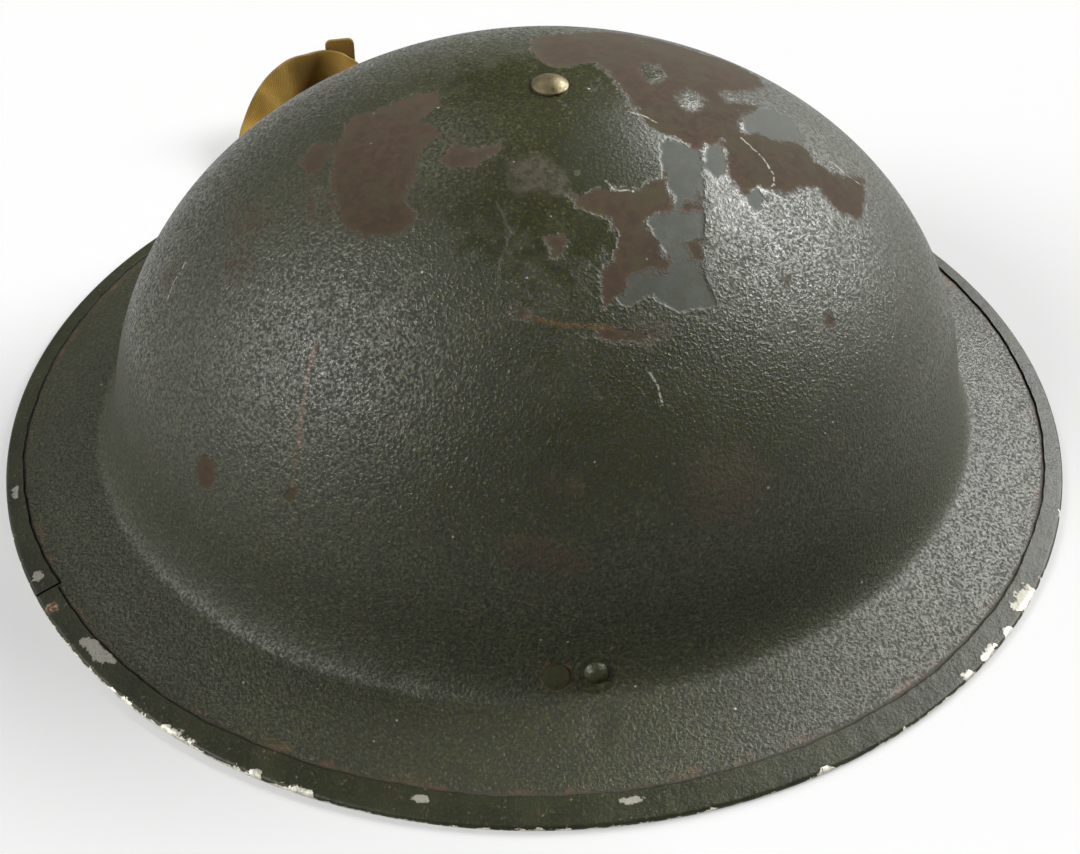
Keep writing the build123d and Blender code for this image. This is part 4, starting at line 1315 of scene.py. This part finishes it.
def build_lugs(scene):
    """Materials of the strap lugs, their rivets and the wire loops."""
    steel = finish("dull_steel", scene)
    for side in ("right", "left"):
        dress_node(f"lug_{side}", steel)
        dress_node(f"loop_{side}", steel)
        dress_node(f"lug_rivets_{side}", finish("rivet_paint", scene))


def with_distance(route):
    """Each place, its way ahead and its way across, with the distance travelled so far."""
    stations = []
    travelled = 0.0
    before = route[0][0]
    for spot, way, across in route:
        travelled += float(np.linalg.norm(spot - before))
        before = spot
        stations.append((spot, way, across, travelled))
    return stations


def smooth_run(rows, spacing):
    """Places, directions, lifts and twists at even steps along a clamped cubic through the rows."""
    knots = np.array([row[:2] for row in rows], float)
    chords = np.linalg.norm(np.diff(knots, axis=0), axis=1)
    marks = np.concatenate([[0], np.cumsum(chords)])
    count = len(knots)
    system = np.zeros((count, count))
    right = np.zeros((count, 2))
    system[0, 0] = system[-1, -1] = 1
    right[0] = right[-1] = (0, 1)
    for knot in range(1, count - 1):
        before, after = chords[knot - 1], chords[knot]
        system[knot, knot - 1 : knot + 2] = (after, 2 * (before + after), before)
        right[knot] = 3 * (
            after * (knots[knot] - knots[knot - 1]) / before
            + before * (knots[knot + 1] - knots[knot]) / after
        )
    slopes = np.linalg.solve(system, right)
    total = marks[-1]
    stations = []
    for mark in np.linspace(0, total, max(2, round(total / spacing)) + 1):
        leg = min(count - 2, int(np.searchsorted(marks, mark, side="right")) - 1)
        share = (mark - marks[leg]) / chords[leg]
        here, there = knots[leg], knots[leg + 1]
        leaving, arriving = slopes[leg] * chords[leg], slopes[leg + 1] * chords[leg]
        spot = (
            (2 * share**3 - 3 * share**2 + 1) * here
            + (share**3 - 2 * share**2 + share) * leaving
            + (-2 * share**3 + 3 * share**2) * there
            + (share**3 - share**2) * arriving
        )
        way = (
            (6 * share**2 - 6 * share) * here
            + (3 * share**2 - 4 * share + 1) * leaving
            + (-6 * share**2 + 6 * share) * there
            + (3 * share**2 - 2 * share) * arriving
        )
        ease = share * share * (3 - 2 * share)
        lift = rows[leg][2] + (rows[leg + 1][2] - rows[leg][2]) * ease
        twist = math.radians(rows[leg][3] + (rows[leg + 1][3] - rows[leg][3]) * ease)
        stations.append((spot, way / np.linalg.norm(way), lift, twist))
    return stations


def webbing_section(width, gauge):
    """Outline of the webbing: flat faces with softly rounded selvedges, and its place across."""
    half, thick = width / 2, gauge / 2
    outline = []
    for side in (1, -1):
        for part in np.linspace(-side, side, 13):
            outline.append((part * (half - 0.5), side * thick * (1 - 0.05 * abs(part))))
        outline.append((side * (half - 0.12), side * thick * 0.62))
        outline.append((side * half, 0))
        outline.append((side * (half - 0.12), -side * thick * 0.62))
    return np.array(outline)


def strap_stations(scene):
    """The webbing's route: in from the right loop, across under the dome and out to its bight."""
    half_width = scene.helmet_sizes.strap_width / MM / 2
    inward = smooth_run(STRAP_IN, STRAP_SPACING)
    spot, _, lift, twist = inward[-1]
    straight = [
        (np.array([spot[0], spot[1] + STRAIGHT_RUN * step / 27]), np.array([0, 1.0]), lift, twist)
        for step in range(1, 27)
    ]
    route = []
    for spot, way, lift, twist in inward + straight + smooth_run(STRAP_OUT, STRAP_SPACING):
        centre = np.array([*spot, STRAP_LIE + lift + half_width * abs(math.sin(twist))])
        ahead = np.array([*way, 0.0])
        level = np.cross(ahead, (0, 0, 1))
        across = level * math.cos(twist) + np.array([0, 0, math.sin(twist)])
        route.append((centre, ahead, across))
    return with_distance(route)


def webbing_piece(name, stations, scene, stitched=0.0):
    """A run of webbing through the stations, with its weave map."""
    sizes = scene.helmet_sizes
    outline = webbing_section(sizes.strap_width / MM, sizes.strap_gauge / MM)
    points = []
    weave = []
    for centre, ahead, across, travelled in stations:
        normal = np.cross(ahead, across)
        normal /= np.linalg.norm(normal)
        ripple = 1 + 0.006 * math.sin(travelled * 0.21) + 0.004 * math.sin(travelled * 0.53)
        for side, thick in outline:
            points.append(centre + across * side * ripple + normal * thick)
            weave.append((side, travelled))
    count = len(outline)
    faces = ring_faces(len(stations), count)
    faces.append(tuple(reversed(range(count))))
    faces.append(tuple(range((len(stations) - 1) * count, len(stations) * count)))
    made = piece(name, points, faces, finish("woven_webbing", scene), 60)
    map_flat(made, "weave_map", weave)
    note(made, "stitched", np.full(len(points), stitched))
    return made


def tab_stations(side):
    """The sewn end: out over the wire, round it and back."""
    pivot = np.array(LOOP_PIVOT) * np.array([1, side, 1])
    out = np.array([0, -side * math.cos(LOOP_DROOP), -math.sin(LOOP_DROOP)])
    bar = pivot + out * LOOP_LENGTH
    up = np.cross(out, (1, 0, 0)) * side
    lane = 0.75
    radius = WIRE_RADIUS + TAB_CLEARANCE + lane
    width = np.array([1.0, 0, 0])
    route = []
    for part in np.linspace(TAB_TAIL - 0.2, radius * 0.9, 6):
        route.append((bar + out * part - up * lane, -out, width))
    for bend in np.radians(np.linspace(-65, -295, 18)):
        spot = bar + radius * (out * math.cos(bend) + up * math.sin(bend))
        route.append((spot, out * math.sin(bend) - up * math.cos(bend), width))
    for part in np.linspace(radius * 0.9, TAB_TAIL + TAB_GAP, 6):
        lift = lane * (1 if part < TAB_TAIL - 1.5 else 0.25)
        route.append((bar + out * part + up * lift, out, width))
    return with_distance(route)


def tail_stations(width):
    """The doubled-back end of the webbing, with its corners cut round."""
    turn = math.radians(TAIL["turn"])
    way = np.array([math.cos(turn), math.sin(turn), 0.0])
    centre = np.array([TAIL["x"], TAIL["y"], STRAP_LIE + TAIL["lift"] + width / 2])
    half, corner = TAIL["length"] / 2, TAIL["corner"]
    near = -half + np.array([0.0, 0.25, 0.8, 1.5])
    marks = np.concatenate([near, np.linspace(-half + corner, half - corner, 6), -near[::-1]])
    stations = []
    for mark in marks:
        inset = max(0.0, abs(mark) - (half - corner))
        drop = corner - math.sqrt(max(0.0, corner**2 - inset**2))
        scale = (width / 2 - drop) / (width / 2)
        stations.append((centre + way * mark, way, np.array([0, 0, -scale]), mark))
    return stations


def build_chin_strap(scene):
    """The webbing: its run, its tail, its two ends and their tabs."""
    stations = strap_stations(scene)
    marks = np.array([station[3] for station in stations])
    right_cut = int(np.argmin(np.abs(marks - RIGHT_END)))
    left_cut = int(np.argmin(np.abs(marks - (marks[-1] - LEFT_END))))
    right_end = webbing_piece("webbing_right_end", stations[: right_cut + 1], scene)
    run = webbing_piece("webbing_run", stations[right_cut : left_cut + 1], scene)
    left_end = webbing_piece("webbing_left_end", stations[left_cut:], scene)
    tail = tail_stations(scene.helmet_sizes.strap_width / MM)
    for made in (run, webbing_piece("webbing_tail", tail, scene)):
        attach(made, "helmet")
        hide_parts("chin_strap")
    for side, end, body in ((-1, right_end, "right_loop"), (1, left_end, "left_loop")):
        name = "right" if side < 0 else "left"
        tab = webbing_piece(f"webbing_{name}_tab", tab_stations(side), scene, 1.0)
        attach(tab, body)
        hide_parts(f"strap_tab_{name}")
        if side < 0:
            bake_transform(end)
        else:
            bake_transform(end)
        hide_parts("chin_strap")
    dress_node("strap_slider", finish("tarnished_brass", scene))


def softbox(name, bearing, height, spread, strength):
    """Soft light from a bearing and a height, even over the whole floor."""
    data = bpy.data.lights.new(name, "SUN")
    data.angle = math.radians(spread)
    data.energy = strength
    made = bpy.data.objects.new(name, data)
    bpy.context.scene.collection.objects.link(made)
    turn, lift = math.radians(bearing), math.radians(height)
    way = Vector((math.cos(turn) * math.cos(lift), math.sin(turn) * math.cos(lift), math.sin(lift)))
    made.location = way
    made.rotation_euler = way.to_track_quat("Z", "Y").to_euler()


def build_camera():
    """The camera at the photograph's view angle."""
    distance = 0.4735
    pitch, roll, bearing = math.radians(44.13), math.radians(1.81), math.radians(9.64)
    ahead = Vector(
        (math.sin(bearing) * math.cos(pitch), math.cos(bearing) * math.cos(pitch), -math.sin(pitch))
    )
    level = Vector((math.cos(bearing), -math.sin(bearing), 0))
    upright = level.cross(ahead)
    right = level * math.cos(roll) + upright * math.sin(roll)
    up = -level * math.sin(roll) + upright * math.cos(roll)
    data = bpy.data.cameras.new("camera")
    data.sensor_width = 36.0
    data.sensor_fit = "HORIZONTAL"
    data.lens = 52.5
    data.shift_x = 0.0002
    data.shift_y = -0.01666
    data.clip_start = 0.01
    camera = bpy.data.objects.new("camera", data)
    bpy.context.scene.collection.objects.link(camera)
    turned = Matrix((right, up, -ahead)).transposed().to_4x4()
    camera.matrix_world = Matrix.Translation(-ahead * distance) @ turned
    bpy.context.scene.camera = camera


def build_world(scene):
    """A dim even light, behind which the camera sees pale grey."""
    world = bpy.data.worlds.new("studio")
    scene.world = world
    world.use_nodes = True
    tree = world.node_tree
    tree.nodes.clear()
    output = tree.nodes.new("ShaderNodeOutputWorld")
    light = tree.nodes.new("ShaderNodeBackground")
    seen = tree.nodes.new("ShaderNodeBackground")
    mix = tree.nodes.new("ShaderNodeMixShader")
    path = tree.nodes.new("ShaderNodeLightPath")
    light.inputs["Color"].default_value = (1, 1, 1, 1)
    light.inputs["Strength"].default_value = 0.08
    seen.inputs["Color"].default_value = (0.84, 0.84, 0.84, 1)
    seen.inputs["Strength"].default_value = 1.0
    tree.links.new(path.outputs["Is Camera Ray"], mix.inputs[0])
    tree.links.new(light.outputs[0], mix.inputs[1])
    tree.links.new(seen.outputs[0], mix.inputs[2])
    tree.links.new(mix.outputs[0], output.inputs["Surface"])


def build_stage(scene):
    """The floor, in the plane that the helmet rests on, with the lights and the camera."""
    scene.view_settings.view_transform = "Standard"
    build_world(scene)
    reach, rest_y, slope, clearance = 4000.0, -141.9, -0.0067, 0.08
    points = []
    for x, y in ((-reach, -reach), (reach, -reach), (reach, reach), (-reach, reach)):
        points.append((x, y, slope * (y - rest_y) - clearance))
    floor = piece("floor", points, [(0, 1, 2, 3)], finish("pale_floor", scene))
    for name, values in SOFTBOXES.items():
        softbox(name, *values)
    build_camera()


class HELMET_OT_shell(bpy.types.Operator):
    """Add the pressed steel shell with its worn paint"""

    bl_idname = "helmet.shell"
    bl_label = "Steel shell"

    def execute(self, context):
        build_shell(context.scene)
        return {"FINISHED"}


class HELMET_OT_rim_strip(bpy.types.Operator):
    """Add the folded strip round the brim"""

    bl_idname = "helmet.rim_strip"
    bl_label = "Rim strip"

    def execute(self, context):
        build_rim_strip(context.scene)
        return {"FINISHED"}


class HELMET_OT_crown_bolt(bpy.types.Operator):
    """Finish the crown screw, nut, washer and spacer"""

    bl_idname = "helmet.crown_bolt"
    bl_label = "Crown bolt"

    def execute(self, context):
        build_crown_bolt(context.scene)
        return {"FINISHED"}


class HELMET_OT_liner_frame(bpy.types.Operator):
    """Finish the cross straps, head band, rivets and rubber buffers"""

    bl_idname = "helmet.liner_frame"
    bl_label = "Liner frame"

    def execute(self, context):
        build_liner_frame(context.scene)
        return {"FINISHED"}


class HELMET_OT_liner_cloth(bpy.types.Operator):
    """Add the sweatband, cradle, lace and crown pad"""

    bl_idname = "helmet.liner_cloth"
    bl_label = "Liner cloth"

    def execute(self, context):
        build_sweatband(context.scene)
        build_cradle(context.scene)
        build_lace(context.scene)
        build_crown_pad(context.scene)
        return {"FINISHED"}


class HELMET_OT_lugs(bpy.types.Operator):
    """Finish the chin-strap lugs, their rivets and the wire loops"""

    bl_idname = "helmet.lugs"
    bl_label = "Lugs and loops"

    def execute(self, context):
        build_lugs(context.scene)
        return {"FINISHED"}


class HELMET_OT_chin_strap(bpy.types.Operator):
    """Add the webbing chin strap and finish its slide"""

    bl_idname = "helmet.chin_strap"
    bl_label = "Chin strap"

    def execute(self, context):
        build_chin_strap(context.scene)
        return {"FINISHED"}


class HELMET_OT_stage(bpy.types.Operator):
    """Add the floor, the lamps, the world and the camera"""

    bl_idname = "helmet.stage"
    bl_label = "Stage"

    def execute(self, context):
        build_stage(context.scene)
        return {"FINISHED"}


OPERATORS = (
    HELMET_OT_shell,
    HELMET_OT_rim_strip,
    HELMET_OT_crown_bolt,
    HELMET_OT_liner_frame,
    HELMET_OT_liner_cloth,
    HELMET_OT_lugs,
    HELMET_OT_chin_strap,
    HELMET_OT_stage,
)


class HELMET_PT_panel(bpy.types.Panel):
    """The helmet's pieces, sizes and colours"""

    bl_idname = "HELMET_PT_panel"
    bl_label = "Helmet"
    bl_space_type = "VIEW_3D"
    bl_region_type = "UI"
    bl_category = "Helmet"

    def draw(self, context):
        layout = self.layout
        for group in (context.scene.helmet_sizes, context.scene.helmet_colours):
            box = layout.box()
            for name in group.__annotations__:
                box.prop(group, name)
        for operator in OPERATORS:
            layout.operator(operator.bl_idname)


CLASSES = (HelmetSizes, HelmetColours, *OPERATORS, HELMET_PT_panel)


def register():
    """Add the helmet's classes and its sizes and colours."""
    for made in CLASSES:
        bpy.utils.register_class(made)
    bpy.types.Scene.helmet_sizes = bpy.props.PointerProperty(type=HelmetSizes)
    bpy.types.Scene.helmet_colours = bpy.props.PointerProperty(type=HelmetColours)


def unregister():
    """Take them away again."""
    del bpy.types.Scene.helmet_colours
    del bpy.types.Scene.helmet_sizes
    for made in reversed(CLASSES):
        bpy.utils.unregister_class(made)


def main():
    """Build the helmet and its stage."""
    register()
    bpy.ops.helmet.shell()
    bpy.ops.helmet.rim_strip()
    bpy.ops.helmet.crown_bolt()
    bpy.ops.helmet.liner_frame()
    bpy.ops.helmet.liner_cloth()
    bpy.ops.helmet.lugs()
    bpy.ops.helmet.chin_strap()
    bpy.ops.helmet.stage()


if __name__ == "__main__":
    main()
